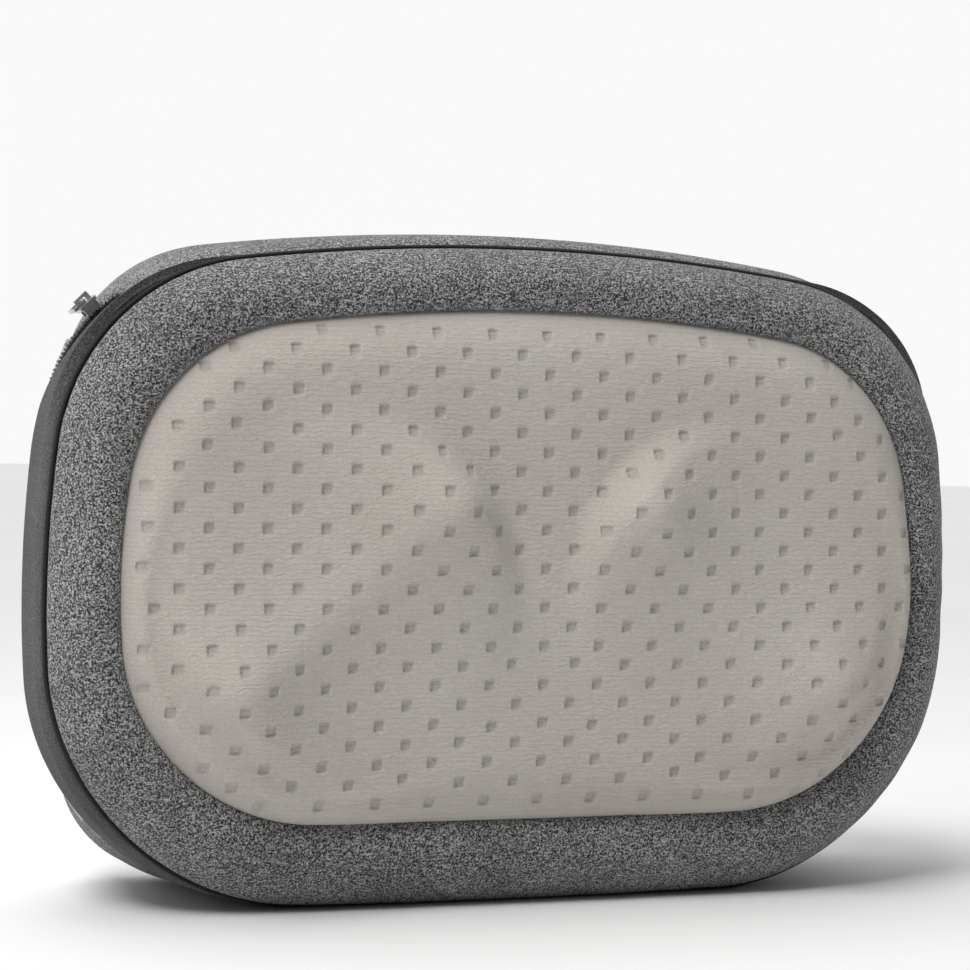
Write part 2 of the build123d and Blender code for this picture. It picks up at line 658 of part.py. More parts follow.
for name, side in sides:
    with BuildPart() as worm:
        make_worm(side)
    save(worm.part, f"worm_{name}")

    with BuildPart() as worm_wheel:
        loft([wheel_face(side, -wheel_width / 2, side * twist / 2),
              wheel_face(side, wheel_width / 2, -side * twist / 2)], ruled=True)
        for start, depth in ((wheel_y - wheel_width / 2, -3.0), (wheel_y + wheel_width / 2, 3.0)):
            with BuildSketch(disc_plane(side, start)):
                Circle(wheel_root - 3.0)
                Circle(12.0, mode=Mode.SUBTRACT)
            extrude(amount=depth, mode=Mode.SUBTRACT)
        with BuildSketch(disc_plane(side, hub_y[1])):
            Circle(12.0)
        extrude(amount=hub_y[1] - hub_y[0])
        with BuildSketch(disc_plane(side, hub_y[1])):
            Circle(shaft_outer)
        extrude(amount=hub_y[1] - hub_y[0], mode=Mode.SUBTRACT)
        with BuildSketch(disc_plane(side, wheel_y + 2)):
            with PolarLocations(20.0, 6):
                Circle(4.0)
        extrude(amount=4, mode=Mode.SUBTRACT)
    save(worm_wheel.part, f"worm_wheel_{name}")

    with BuildPart() as output_shaft:
        with BuildSketch(disc_plane(side, shaft_y[1])):
            Circle(shaft_outer)
        extrude(amount=shaft_y[1] - shaft_y[0])
        with BuildSketch(disc_plane(side, clip_y + 1.0)):
            Circle(shaft_outer)
            Circle(shaft_outer - clip_groove, mode=Mode.SUBTRACT)
        extrude(amount=1.0, mode=Mode.SUBTRACT)
        with BuildSketch(disc_plane(side, shaft_y[1])):
            Circle(shaft_bore)
        extrude(amount=shaft_y[1] - shaft_y[0], mode=Mode.SUBTRACT)
    save(output_shaft.part, f"output_shaft_{name}")

    with BuildPart() as arm:
        with BuildSketch(disc_plane(side, arm_y[1])):
            SlotCenterToCenter(2 * node_orbit, arm_width, rotation=-side * node_tilt)
            Circle(hub_radius)
        extrude(amount=arm_y[1] - arm_y[0])
        fillet(arm.faces().sort_by(Axis.Y)[0].edges(), 1.2)
        with BuildSketch(disc_plane(side, arm_y[1])):
            Circle(shaft_outer)
            with Locations(*node_points(side)):
                Circle(pin_radius)
        extrude(amount=arm_y[1] - arm_y[0], mode=Mode.SUBTRACT)
    save(arm.part, f"arm_{name}")

    with BuildPart() as arm_clip:
        with BuildSketch(disc_plane(side, clip_y + 1.0)):
            Circle(shaft_outer + 1.6)
            Circle(shaft_outer - clip_groove, mode=Mode.SUBTRACT)
            with Locations((0, -shaft_outer)):
                Rectangle(4.0, 6.0, mode=Mode.SUBTRACT)
        extrude(amount=1.0)
    save(arm_clip.part, f"arm_clip_{name}")

    with BuildPart() as node_pins:
        with BuildSketch(disc_plane(side, arm_y[1])):
            with Locations(*node_points(side)):
                Circle(pin_radius)
        extrude(amount=arm_y[1] - pin_tip_y)
        with BuildSketch(disc_plane(side, arm_y[0])):
            with Locations(*node_points(side)):
                Circle(pin_radius + 3.5)
        extrude(amount=1.5)
        with BuildSketch(disc_plane(side, pin_tip_y)):
            with Locations(*node_points(side)):
                Circle(screw_radius)
        extrude(amount=-10, mode=Mode.SUBTRACT)
    save(node_pins.part, f"node_pins_{name}")

    screws(f"node_screws_{name}", disc_plane(side, pin_tip_y), node_points(side), 9.0, head=(5.0, 2.2))

# ================================================================ massage nodes
node_back_y = arm_y[0] - 2.0
cap_radius = 7.0
seat_y = node_tip_y + 5.5
node_middle_y = (node_back_y + node_tip_y) / 2
node_names = (("left_outer", -1, 0), ("left_inner", -1, 1), ("right_inner", 1, 1), ("right_outer", 1, 0))


def node_plane(side, which):
    """Plane at y = 0 on a node's own axis, its normal along -Y."""
    x, up = node_points(side)[which]
    return Plane(origin=(side * disc_x + x, 0, disc_z + up), x_dir=(1, 0, 0), z_dir=(0, -1, 0))


for name, side, which in node_names:
    with BuildPart() as massage_node:
        bore, pocket, rim_y = pin_radius + running_gap, 5.8, node_tip_y + 2.2
        head_y = pin_tip_y + 0.3
        widest = (node_radius, -node_middle_y)
        add_revolved([
            ((bore, -node_back_y), (node_radius - 5, -node_back_y)),
            barrel_arc((node_radius - 5, -node_back_y), widest),
            barrel_arc((cap_radius + 0.6, -rim_y), widest)[::-1],
            ((cap_radius + 0.6, -rim_y), (cap_radius, -rim_y)),
            ((cap_radius, -rim_y), (cap_radius, -seat_y)),
            ((cap_radius, -seat_y), (pocket, -seat_y)),
            ((pocket, -seat_y), (pocket, -head_y)),
            ((pocket, -head_y), (bore, -head_y)),
            ((bore, -head_y), (bore, -node_back_y)),
        ], node_plane(side, which))
    save(massage_node.part, f"massage_node_{name}")

    with BuildPart() as node_cap:
        with BuildSketch(node_plane(side, which).offset(-seat_y)):
            Circle(cap_radius)
        extrude(amount=seat_y - node_tip_y)
        fillet(node_cap.faces().sort_by(Axis.Y)[0].edges(), seat_y - rim_y - 1.2)
    save(node_cap.part, f"node_cap_{name}")

# ================================================================ heat
lamp_y = shaft_y[0] - 1.5
post_foot = 2.0
with BuildPart() as lamp_posts:
    for _, side in sides:
        with BuildSketch(disc_plane(side, housing_inner_y)):
            Circle(post_radius)
        extrude(amount=housing_inner_y - lamp_y)
        with BuildSketch(disc_plane(side, housing_inner_y)):
            Circle(post_radius + 6)
        extrude(amount=post_foot)
save(lamp_posts.part, "lamp_posts")

with BuildPart() as heat_lamps:
    for _, side in sides:
        with BuildSketch(disc_plane(side, lamp_y)):
            Circle(lamp_radius)
        extrude(amount=3.0)
        with BuildSketch(disc_plane(side, lamp_y - 3.0)):
            Circle(lamp_radius - 1.5)
        extrude(amount=lamp_height - 3.0)
    fillet(heat_lamps.faces().group_by(Axis.Y)[0].edges(), lamp_radius - 3.5)
save(heat_lamps.part, "heat_lamps")

# ================================================================ controls
button_z = bezel_z + 13.0
jack_z = bezel_z - 15.0
plate_x = bezel_x + bezel_plate
with BuildPart() as control_bezel:
    along_x(bezel_x, bezel_size, 5.0, bezel_plate)
    fillet(control_bezel.faces().sort_by(Axis.X)[-1].edges(), 1.0)
    along_x(housing_pad_x, tube_size, 3.0, bezel_x - housing_pad_x)
    along_x(housing_pad_x, (tube_size[0] - 2 * tube_wall, tube_size[1] - 2 * tube_wall), 1.5,
            bezel_x - housing_pad_x, Mode.SUBTRACT)
    with BuildSketch(Plane.YZ.offset(bezel_x)):
        with Locations((bezel_y, button_z)):
            RectangleRounded(button_size[0] + 2 * button_gap, button_size[1] + 2 * button_gap, 3.0)
        with Locations((bezel_y, jack_z)):
            Circle(jack_radius + screw_clearance)
    extrude(amount=bezel_plate, mode=Mode.SUBTRACT)
save(control_bezel.part, "control_bezel")

board_x = housing_pad_x + 1.5
switch_top_x = board_x + board_thickness + 3.5
stem_end_x = switch_top_x + button_travel + 0.15
with BuildPart() as power_button:
    with BuildSketch(Plane.YZ.offset(bezel_x)):
        with Locations((bezel_y, button_z)):
            RectangleRounded(button_size[0], button_size[1], 2.7)
    extrude(amount=bezel_plate + button_travel + 0.6)
    fillet(power_button.faces().sort_by(Axis.X)[-1].edges(), 0.8)
    with BuildSketch(Plane.YZ.offset(bezel_x - 0.2)):
        with Locations((bezel_y, button_z)):
            RectangleRounded(button_size[0] + 1.4, button_size[1] + 1.4, 3.0)
    extrude(amount=-1.2)
    with BuildSketch(Plane.YZ.offset(bezel_x - 1.4)):
        with Locations((bezel_y, button_z)):
            Circle(1.6)
    extrude(amount=stem_end_x - bezel_x + 1.4)
    with BuildSketch(Plane.YZ.offset(bezel_x - 0.2)):
        with Locations((bezel_y, button_z)):
            RectangleRounded(button_size[0], button_size[1], 2.7)
    extrude(amount=0.2)
save(power_button.part, "power_button")

board_size = (tube_size[0] - 2 * tube_wall - 1.0, tube_size[1] - 2 * tube_wall - 2.0)
board_holes = [(bezel_y, bezel_z + side * (board_size[1] / 2 - 2.6)) for side in (-1, 1)]
with BuildPart() as control_board:
    along_x(board_x, board_size, 1.0, board_thickness)
    with BuildSketch(Plane.YZ.offset(board_x)):
        with Locations(*board_holes):
            Circle(screw_radius + screw_clearance)
    extrude(amount=board_thickness, mode=Mode.SUBTRACT)
    with BuildSketch(Plane.YZ.offset(board_x + board_thickness)):
        with Locations((bezel_y, button_z)):
            Rectangle(6, 6)
        with Locations((bezel_y + 1, bezel_z)):
            Rectangle(5, 7)
    extrude(amount=1.8)
    with BuildSketch(Plane.YZ.offset(board_x + board_thickness + 1.8)):
        with Locations((bezel_y, button_z)):
            Circle(1.7)
    extrude(amount=switch_top_x - board_x - board_thickness - 1.8)
save(control_board.part, "control_board")

board_face = Plane.YZ.offset(board_x + board_thickness)
screws("board_screws", board_face, board_holes, board_thickness + 1.5 + 6, head=(2.4, 1.4))

with BuildPart() as board_pad_holes:
    with BuildSketch(Plane.YZ.offset(housing_pad_x)):
        with Locations(*board_holes):
            Circle(3.0)
            Circle(screw_radius, mode=Mode.SUBTRACT)
    extrude(amount=1.5)
with BuildPart() as board_screw_bores:
    with BuildSketch(Plane.YZ.offset(housing_pad_x)):
        with Locations(*board_holes):
            Circle(screw_radius)
    extrude(amount=-7)
with BuildPart() as rear_housing_finished:
    add(rear_housing.part)
    add(board_pad_holes.part)
    add(board_screw_bores.part, mode=Mode.SUBTRACT)
save(rear_housing_finished.part, "rear_housing")

with BuildPart() as dc_jack:
    with BuildSketch(Plane.YZ.offset(plate_x)):
        with Locations((bezel_y, jack_z)):
            Circle(jack_flange)
    extrude(amount=1.2)
    with BuildSketch(Plane.YZ.offset(plate_x)):
        with Locations((bezel_y, jack_z)):
            Circle(jack_radius)
    extrude(amount=-(bezel_plate + 6.5))
    with BuildSketch(Plane.YZ.offset(plate_x + 1.2)):
        with Locations((bezel_y, jack_z)):
            Circle(jack_bore)
            Circle(1.0, mode=Mode.SUBTRACT)
    extrude(amount=-(bezel_plate + 6.0), mode=Mode.SUBTRACT)
save(dc_jack.part, "dc_jack")

with BuildPart() as jack_nut:
    with BuildSketch(Plane.YZ.offset(bezel_x)):
        with Locations((bezel_y, jack_z)):
            RegularPolygon(7.2, 6, rotation=30)
            Circle(jack_radius, mode=Mode.SUBTRACT)
    extrude(amount=-2.2)
save(jack_nut.part, "jack_nut")

lead_radius = 0.8
lead_bend = 6.0
lead_x = (plate_reach_x + housing_side_x - 9 - boss_radius) / 2
lead_top = disc_z + plate_high + 3.0
with BuildPart() as motor_leads:
    for offset in (-1.2, 1.2):
        lead_y, drop_y, drop_x = wire_hole_y + offset, gear_base_y[0] - 4.0 + offset, can_half + 6
        with BuildLine() as route:
            FilletPolyline(
                (board_x, lead_y, wire_hole_z), (lead_x, lead_y, wire_hole_z),
                (lead_x, lead_y, lead_top), (lead_x - 30, drop_y, lead_top),
                (drop_x, drop_y, lead_top), (drop_x, drop_y, shaft_z + 9),
                (can_half + cap_thickness, drop_y, shaft_z + 9),
                radius=[lead_bend] * 4 + [1.4])
        with BuildSketch(Plane(origin=route.line @ 0, z_dir=route.line % 0)) as section:
            Circle(lead_radius)
        sweep(section.sketch, path=route.line)
save(motor_leads.part, "motor_leads")

# ================================================================ zip slider
corner_arcs = outline(band_middle).edges().filter_by(lambda e: abs(e.radius - band_middle.corner) < 0.01
                                                     if e.geom_type == GeomType.CIRCLE else False)
zip_corner = corner_arcs.sort_by(Axis.Z)[-2:].sort_by(Axis.X)[0]
zip_center = zip_corner.arc_center
slider_out = Vector(-cos(radians(slider_angle)), 0, sin(radians(slider_angle)))
slider_down = Vector(-sin(radians(slider_angle)), 0, -cos(radians(slider_angle)))
tape_top = Plane(origin=zip_center + slider_out * band_middle.corner, x_dir=slider_down, z_dir=slider_out)
flange_reach = soft_gap + coil_height - 0.2
crown = (5.6, 1.6, 2.9)
crown_hole = (2.6, 1.9)
plate_height = 1.1
with BuildPart() as zipper_slider:
    with BuildSketch(tape_top.offset(slider_gap)):
        RectangleRounded(slider_length, zip_slot - 1.0, 1.2)
    extrude(amount=plate_height)
    for edge in (-1, 1):
        with BuildSketch(tape_top.offset(slider_gap)):
            with Locations((0, edge * (coil_width / 2 + flange_gap + flange / 2))):
                Rectangle(slider_length - 2.4, flange)
        extrude(amount=-slider_gap - flange_reach)
    with BuildSketch(Plane(origin=tape_top.origin, x_dir=slider_down, z_dir=(0, 1, 0))) as side_view:
        with Locations((0, slider_gap + plate_height + crown[2] / 2)):
            Rectangle(crown[0], crown[2])
        with Locations((0, slider_gap + plate_height + crown_hole[1] / 2)):
            Rectangle(crown_hole[0], crown_hole[1], mode=Mode.SUBTRACT)
    extrude(amount=crown[1] / 2, both=True)
save(zipper_slider.part, "zipper_slider")

pull_pivot = tape_top.origin + slider_out * (slider_gap + plate_height + crown_hole[1] / 2)
with BuildPart() as zipper_pull_ring:
    ring_plane = Plane(origin=pull_pivot, x_dir=slider_down, z_dir=slider_out)
    with BuildSketch(ring_plane.offset(-pull_bar / 2)):
        with Locations(((pull_size - pull_bar) / 2, 0)):
            RectangleRounded(pull_size, pull_size, 1.2)
            RectangleRounded(pull_size - 2 * pull_bar, pull_size - 2 * pull_bar, 0.4, mode=Mode.SUBTRACT)
    extrude(amount=pull_bar)
save(zipper_pull_ring.part, "zipper_pull_ring")

print("disc axes at x", round(disc_x, 3), "z", round(disc_z, 3), "orbit", round(node_orbit, 3),
      "shaft z", round(shaft_z, 3))
print("zip corner centre", zip_center, "pull pivot", pull_pivot)
print("button", round(bezel_x, 3), bezel_y, button_z, "jack", round(plate_x + 1.2, 3), jack_z)
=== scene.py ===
# %% [markdown]
# # A neck massage pillow dressed around its CAD frame
# The CAD model holds the drive, the housing and the plain soft solids. In this lesson the soft
# solids get real covers: a knitted panel stretched over four massage nodes, a heather border,
# a zip round three sides and a boxy heather back. Everything is in metres, where the CAD says
# it is.

# %% Load the frame and keep its box
import math

import bpy
import numpy as np
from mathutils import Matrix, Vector


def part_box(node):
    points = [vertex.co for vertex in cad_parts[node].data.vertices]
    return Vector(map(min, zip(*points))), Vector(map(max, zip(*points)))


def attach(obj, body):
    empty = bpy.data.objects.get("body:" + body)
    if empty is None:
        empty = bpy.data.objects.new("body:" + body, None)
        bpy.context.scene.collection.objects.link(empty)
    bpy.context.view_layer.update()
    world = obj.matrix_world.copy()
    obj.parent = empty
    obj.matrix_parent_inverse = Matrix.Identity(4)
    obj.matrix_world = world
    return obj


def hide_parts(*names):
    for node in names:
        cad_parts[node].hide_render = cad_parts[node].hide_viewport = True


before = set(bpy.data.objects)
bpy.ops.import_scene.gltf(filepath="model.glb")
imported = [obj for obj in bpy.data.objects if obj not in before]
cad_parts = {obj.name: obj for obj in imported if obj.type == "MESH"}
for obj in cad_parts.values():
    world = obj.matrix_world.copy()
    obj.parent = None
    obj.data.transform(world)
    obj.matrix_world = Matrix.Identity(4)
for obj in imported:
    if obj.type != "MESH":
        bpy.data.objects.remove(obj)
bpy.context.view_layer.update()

mm = 0.001

# %% [markdown]
# ## Outlines
# Every layer of the pillow has the same kind of outline: a flat base, bowed sides and top, and
# large round corners. It could be drawn as a curve for each layer, but the layers have to be
# joined point to point, so one function lays the same number of points round each of them.

# %% One outline as a ring of points
RING = 384             # points round an outline


def span(centre, radius, start, end, steps=60):
    """Points along an arc in the XZ plane."""
    turn = np.linspace(start, end, steps)
    return np.stack([centre[0] + radius * np.cos(turn), centre[1] + radius * np.sin(turn)], 1)


def outline(half, bottom, top, corner, side_bow, top_bow, low_corner=None, lift=0.0,
            count=RING):
    """Evenly spaced points round a pillow outline, from the middle of its base."""
    base_corner = low_corner or corner
    high = top - top_bow
    middle, rise, across = (bottom + high) / 2, (high - bottom) / 2, half - side_bow
    side_radius = (rise**2 + side_bow**2) / (2 * side_bow)
    top_radius = (across**2 + top_bow**2) / (2 * top_bow)
    side_centre = np.array([half - side_radius, middle])
    top_centre = np.array([0.0, top - top_radius])
    drop = bottom + base_corner - middle
    low_centre = np.array([side_centre[0] + math.sqrt((side_radius - base_corner) ** 2 - drop**2),
                           bottom + base_corner])
    gap = side_centre - top_centre
    apart = np.linalg.norm(gap)
    near = ((top_radius - corner) ** 2 - (side_radius - corner) ** 2 + apart**2) / (2 * apart)
    out = math.sqrt((top_radius - corner) ** 2 - near**2)
    along = gap / apart
    high_corner = max((top_centre + along * near + sign * out * np.array([-along[1], along[0]])
                       for sign in (-1, 1)), key=lambda p: p[0] + p[1])
    turns = [math.atan2(*(c - s)[::-1]) for c, s in
             ((low_centre, side_centre), (high_corner, side_centre), (high_corner, top_centre))]
    right = np.concatenate([
        [[0.0, bottom]],
        span(low_centre, base_corner, -math.pi / 2, turns[0]),
        span(side_centre, side_radius, turns[0], turns[1]),
        span(high_corner, corner, turns[1], turns[2]),
        span(top_centre, top_radius, turns[2], math.pi / 2),
    ])
    far = np.concatenate([[0], np.cumsum(np.linalg.norm(np.diff(right, axis=0), axis=1))])
    at = np.linspace(0, far[-1], count // 2 + 1)
    right = np.stack([np.interp(at, far, right[:, k]) for k in (0, 1)], 1)
    lower = np.clip((middle - right[:, 1]) / (middle - bottom), 0, 1)
    right[:, 1] += lift * (np.abs(right[:, 0]) / half) ** 2.5 * lower
    left = right[1:-1][::-1] * [-1, 1]
    return np.concatenate([right, left])


panel_low, panel_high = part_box("front_mesh_panel")
seam_low, seam_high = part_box("front_border_fabric")
band_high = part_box("zipper_tapes")[1]
panel_sizes = (panel_high.x, panel_low.z, panel_high.z, 0.062, 0.012, 0.014, 0.066, 0.004)
panel_ring = outline(*panel_sizes)
seam_ring = outline(seam_high.x, 0.0, seam_high.z, 0.071, 0.013, 0.016, 0.086, 0.006)
band_ring = outline(band_high.x, 0.0, seam_high.z, 0.060, 0.012, 0.014, 0.080, 0.006)
seam_y = seam_high.y
print("seam ring:", seam_ring.min(0), seam_ring.max(0), "at y", round(seam_y, 4))

# %% [markdown]
# ## Skins
# A sewn cover is a skin that runs from ring to ring, so it's lofted: each ring is a row of
# points and neighbouring rows are joined by four-sided faces. Its normals are turned outwards
# while it is still one thin surface, and only then does it get its thickness.

# %% Loft rings into a skin
def smooth_line(points, rounds=3):
    """Cuts the corners of an open line of points, keeping its two ends."""
    line = np.asarray(points, float)
    for _ in range(rounds):
        near, far = line[:-1], line[1:]
        cut = np.empty((2 * len(near), line.shape[1]))
        cut[0::2], cut[1::2] = near * 0.75 + far * 0.25, near * 0.25 + far * 0.75
        line = np.concatenate([line[:1], cut, line[-1:]])
    return line


def only(piece):
    """Makes a piece the only selected one."""
    bpy.ops.object.select_all(action="DESELECT")
    piece.select_set(True)
    bpy.context.view_layer.objects.active = piece


def mesh_piece(name, points, faces, smooth_angle=50):
    """A new object from points and faces, smooth except at sharp folds."""
    mesh = bpy.data.meshes.new(name)
    mesh.from_pydata([tuple(p) for p in points], [], [tuple(f) for f in faces])
    mesh.validate()
    piece = bpy.data.objects.new(name, mesh)
    bpy.context.scene.collection.objects.link(piece)
    only(piece)
    bpy.ops.object.shade_smooth_by_angle(angle=math.radians(smooth_angle))
    return piece


def face_outwards(piece):
    """Merges doubled points and turns every face outwards."""
    only(piece)
    bpy.ops.object.mode_set(mode="EDIT")
    bpy.ops.mesh.select_all(action="SELECT")
    bpy.ops.mesh.remove_doubles(threshold=1e-6)
    bpy.ops.mesh.normals_make_consistent(inside=False)
    bpy.ops.object.mode_set(mode="OBJECT")


def loft_faces(rows, count):
    """Quads between rows of count points, whose fronts look outwards along the rows."""
    at = np.arange(count)
    ahead = (at + 1) % count
    return [quad for row in range(rows - 1)
            for quad in zip(row * count + at, row * count + ahead,
                            (row + 1) * count + ahead, (row + 1) * count + at)]


def thicken(piece, thickness, smooth_angle=50):
    """Gives a skin its thickness, inwards, applies it, and keeps its rim sharp."""
    only(piece)
    wall = piece.modifiers.new("wall", "SOLIDIFY")
    wall.thickness, wall.offset, wall.use_rim = thickness, -1, True
    bpy.ops.object.modifier_apply(modifier=wall.name)
    bpy.ops.object.shade_smooth_by_angle(angle=math.radians(smooth_angle))


def facing(rings):
    """Above zero if the skin lofted through these rings faces away from its middle."""
    around = np.roll(rings, -1, axis=1) - np.roll(rings, 1, axis=1)
    normal = np.cross(around, np.gradient(rings, axis=0))
    return float((normal * (rings - rings.reshape(-1, 3).mean(0))).sum())


def skin(name, rings, thickness, capped=False):
    """A cover lofted through rings of points; capped closes its last ring with a middle point."""
    rings = np.asarray(rings, float)
    rows, count = rings.shape[:2]
    if facing(rings) < 0:
        rings = rings[:, ::-1]
    points = rings.reshape(-1, 3)
    faces = loft_faces(rows, count)
    if capped:
        points = np.concatenate([points, [rings[-1].mean(0)]])
        last = (rows - 1) * count
        faces += [(last + i, last + (i + 1) % count, len(points) - 1) for i in range(count)]
    piece = mesh_piece(name, points, faces)
    if thickness:
        thicken(piece, thickness)
    print(name, "has", len(piece.data.polygons), "faces")
    return piece


# %% [markdown]
# ## Finishes
# Each material starts with the same few nodes: the piece's own coordinates, noise for what is
# uneven in the real stuff, and a bump so that light catches it. Small helpers keep each
# finish short, and constants go straight on the shader's sockets.

# %% Node helpers
class Look:
    """One material while its nodes are being joined up."""

    def __init__(self, name, roughness, metallic=0.0, **sockets):
        self.material = bpy.data.materials.new(name)
        self.material.use_nodes = True
        tree = self.material.node_tree
        self.nodes, self.links = tree.nodes, tree.links
        self.shader = self.nodes["Principled BSDF"]
        self.shader.inputs["Roughness"].default_value = roughness
        self.shader.inputs["Metallic"].default_value = metallic
        for socket, value in sockets.items():
            self.shader.inputs[socket.replace("_", " ")].default_value = value
        self.place = self.nodes.new("ShaderNodeTexCoord").outputs["Object"]

    def node(self, kind, inputs=(), **settings):
        made = self.nodes.new(kind)
        for key, value in settings.items():
            setattr(made, key, value)
        for key, value in dict(inputs).items():
            if isinstance(value, bpy.types.NodeSocket):
                self.links.new(value, made.inputs[key])
            else:
                made.inputs[key].default_value = value
        return made

    def scaled(self, scale):
        return self.node("ShaderNodeMapping", {"Vector": self.place,
                                               "Scale": scale}).outputs[0]

    def noise(self, scale, detail=2.0, rough=0.6, place=None):
        return self.node("ShaderNodeTexNoise", {
            "Vector": place or self.place, "Scale": scale, "Detail": detail,
            "Roughness": rough}).outputs["Fac"]

    def wave(self, scale, direction="Z", twist=0.0, detail=2.0, place=None, detail_scale=1.0):
        return self.node("ShaderNodeTexWave", {
            "Vector": place or self.place, "Scale": scale, "Distortion": twist,
            "Detail": detail, "Detail Scale": detail_scale},
            bands_direction=direction).outputs["Fac"]

    def ramp(self, factor, *stops):
        made = self.node("ShaderNodeValToRGB", {"Fac": factor})
        bar = made.color_ramp.elements
        while len(bar) < len(stops):
            bar.new(0.5)
        for mark, (place, colour) in zip(bar, stops):
            mark.position = place
            mark.color = (*colour, 1) if hasattr(colour, "__len__") else (colour,) * 3 + (1,)
        return made.outputs["Color"]

    def math(self, how, a, b):
        return self.node("ShaderNodeMath", {0: a, 1: b}, operation=how).outputs[0]

    def mix(self, factor, a, b, how="MIX"):
        made = self.node("ShaderNodeMix", {"Factor": factor}, data_type="RGBA", blend_type=how)
        for key, value in ((6, a), (7, b)):
            if isinstance(value, bpy.types.NodeSocket):
                self.links.new(value, made.inputs[key])
            else:
                made.inputs[key].default_value = (*value, 1)
        return made.outputs[2]

    def bump(self, height, distance, strength=1.0, under=None):
        inputs = {"Height": height, "Distance": distance, "Strength": strength}
        if under is not None:
            inputs["Normal"] = under
        return self.node("ShaderNodeBump", inputs).outputs[0]

    def done(self, colour, normal=None, roughness=None):
        for socket, value in (("Base Color", colour), ("Normal", normal),
                              ("Roughness", roughness)):
            if value is not None:
                self.links.new(value, self.shader.inputs[socket])
        return self.material


# %% [markdown]
# ### Heather cover
# Melange cloth is spun from dark and light fibres, so it's a field of near-black and pale grey
# flecks under a millimetre across, with short light runs along the weft. Two noises make it:
# a round one for the flecks and one drawn out sideways for the runs.

# %% Heather
def heather(name, dark, middle, light, fleck=1500.0, run_share=0.60, depth=0.00030):
    look = Look(name, 0.95, Specular_IOR_Level=0.15, Sheen_Weight=0.12)
    flecks = look.noise(fleck, 2.0, 0.75)
    fine = look.noise(fleck * 2.3, 1.0, 0.6)
    runs = look.noise(1.0, 2.0, 0.6, look.scaled((330, 900, 1500)))
    patches = look.noise(28.0, 2.0)
    colour = look.ramp(flecks, (0.36, dark), (0.49, middle), (0.63, light))
    streak = look.ramp(runs, (run_share, 0.0), (run_share + 0.09, 1.0))
    colour = look.mix(streak, colour, (light * 0.92,) * 3)
    colour = look.mix(1.0, colour, look.ramp(fine, (0.3, 0.62), (0.7, 1.25)), "MULTIPLY")
    colour = look.mix(1.0, colour, look.ramp(patches, (0.3, 0.86), (0.7, 1.12)), "MULTIPLY")
    height = look.math("ADD", flecks, look.math("MULTIPLY", fine, 0.5))
    return look.done(colour, look.bump(height, depth))


heather_cover = heather("heather_cover", 0.012, 0.10, 0.52)
strip_cloth = heather("strip_cloth", 0.028, 0.062, 0.14, fleck=1900.0, run_share=0.66,
                      depth=0.0002)
tape_cloth = heather("tape_cloth", 0.006, 0.012, 0.030, fleck=1900.0, run_share=0.8)
print("made", heather_cover.name, strip_cloth.name, "and", tape_cloth.name)

# %% [markdown]
# ### Spacer knit of the panel
# The panel is a pale warm knit with very fine ribs. The ribs wander with the pull of the
# cloth, so they're a wave twisted by its own noise, and they show as a bump and a faint
# change of tone. A point attribute paints shade into the bottoms of the pressed dots, over
# the shade that their real depth casts.

# %% Knit
def knit(name, base, shade):
    look = Look(name, 0.9, Specular_IOR_Level=0.18, Sheen_Weight=0.2)
    ribs = look.wave(190.0, "Z", 7.0, 2.0, look.scaled((0.45, 3.2, 1.0)), 3.0)
    grain = look.noise(1500.0, 2.0, 0.7)
    drift = look.noise(14.0, 2.0, 0.55)
    colour = look.mix(look.ramp(drift, (0.35, 0.0), (0.7, 1.0)), base, shade)
    colour = look.mix(1.0, colour, look.ramp(ribs, (0.0, 0.96), (1.0, 1.03)), "MULTIPLY")
    colour = look.mix(1.0, colour, look.ramp(grain, (0.3, 0.9), (0.7, 1.06)), "MULTIPLY")
    # Painted shade: the bottoms of the pressed dots are darkened by up to 12 per cent.
    pit = look.node("ShaderNodeAttribute", attribute_name="pit").outputs["Fac"]
    colour = look.mix(1.0, colour, look.ramp(pit, (0.0, 1.0), (1.0, 0.88)), "MULTIPLY")
    ribbed = look.bump(ribs, 0.00014)
    return look.done(colour, look.bump(grain, 0.00016, under=ribbed))


panel_knit = knit("panel_knit", (0.545, 0.515, 0.468), (0.52, 0.470, 0.432))
print("made", panel_knit.name)

# %% [markdown]
# ## The massaging panel
# The knit lies over two discs that turn behind it, each carrying two nodes. The cloth
# itself doesn't turn, but its hills do, so the panel is in three pieces that meet where the
# cloth is level: a still piece with two round openings, and one round piece over each disc
# that carries the hills of its two nodes. All three are cut from one grid, so the dots and the
# edges agree.

# %% The discs and the nodes under the panel
ROUND = 0.066          # radius of each turning piece
LEVEL = -0.0458        # the cloth's height where the pieces meet
TUCK = -0.0330         # the cloth's height where it goes under the border
PEAK_ROOM = 0.0036     # cloth above the tip of a node
RIM_FADE = 0.0135      # width over which the hills die out at a round piece's rim
TIP_CORE, TIP_FALL = 0.012, 0.0160      # round top of a hill, and how fast it falls away
RIDGE_CORE, RIDGE_FALL = 0.008, 0.014   # the same for the ridge between two nodes
RIDGE, RIDGE_ENDS = 0.0052, 0.0030      # the ridge's height, and what its ends add
BLEND = 2.6            # how sharply hills and ridge join

discs, node_tips = {}, {}
for side in ("left", "right"):
    low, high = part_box(f"output_shaft_{side}")
    discs[side] = np.array([(low.x + high.x) / 2, (low.z + high.z) / 2])
    for place in ("outer", "inner"):
        low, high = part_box(f"node_cap_{side}_{place}")
        node_tips[side, place] = np.array([(low.x + high.x) / 2, (low.z + high.z) / 2, low.y])
print("discs", discs, "tips", node_tips)


def step(value):
    """0 to 1 with level ends."""
    value = np.clip(value, 0, 1)
    return value * value * (3 - 2 * value)


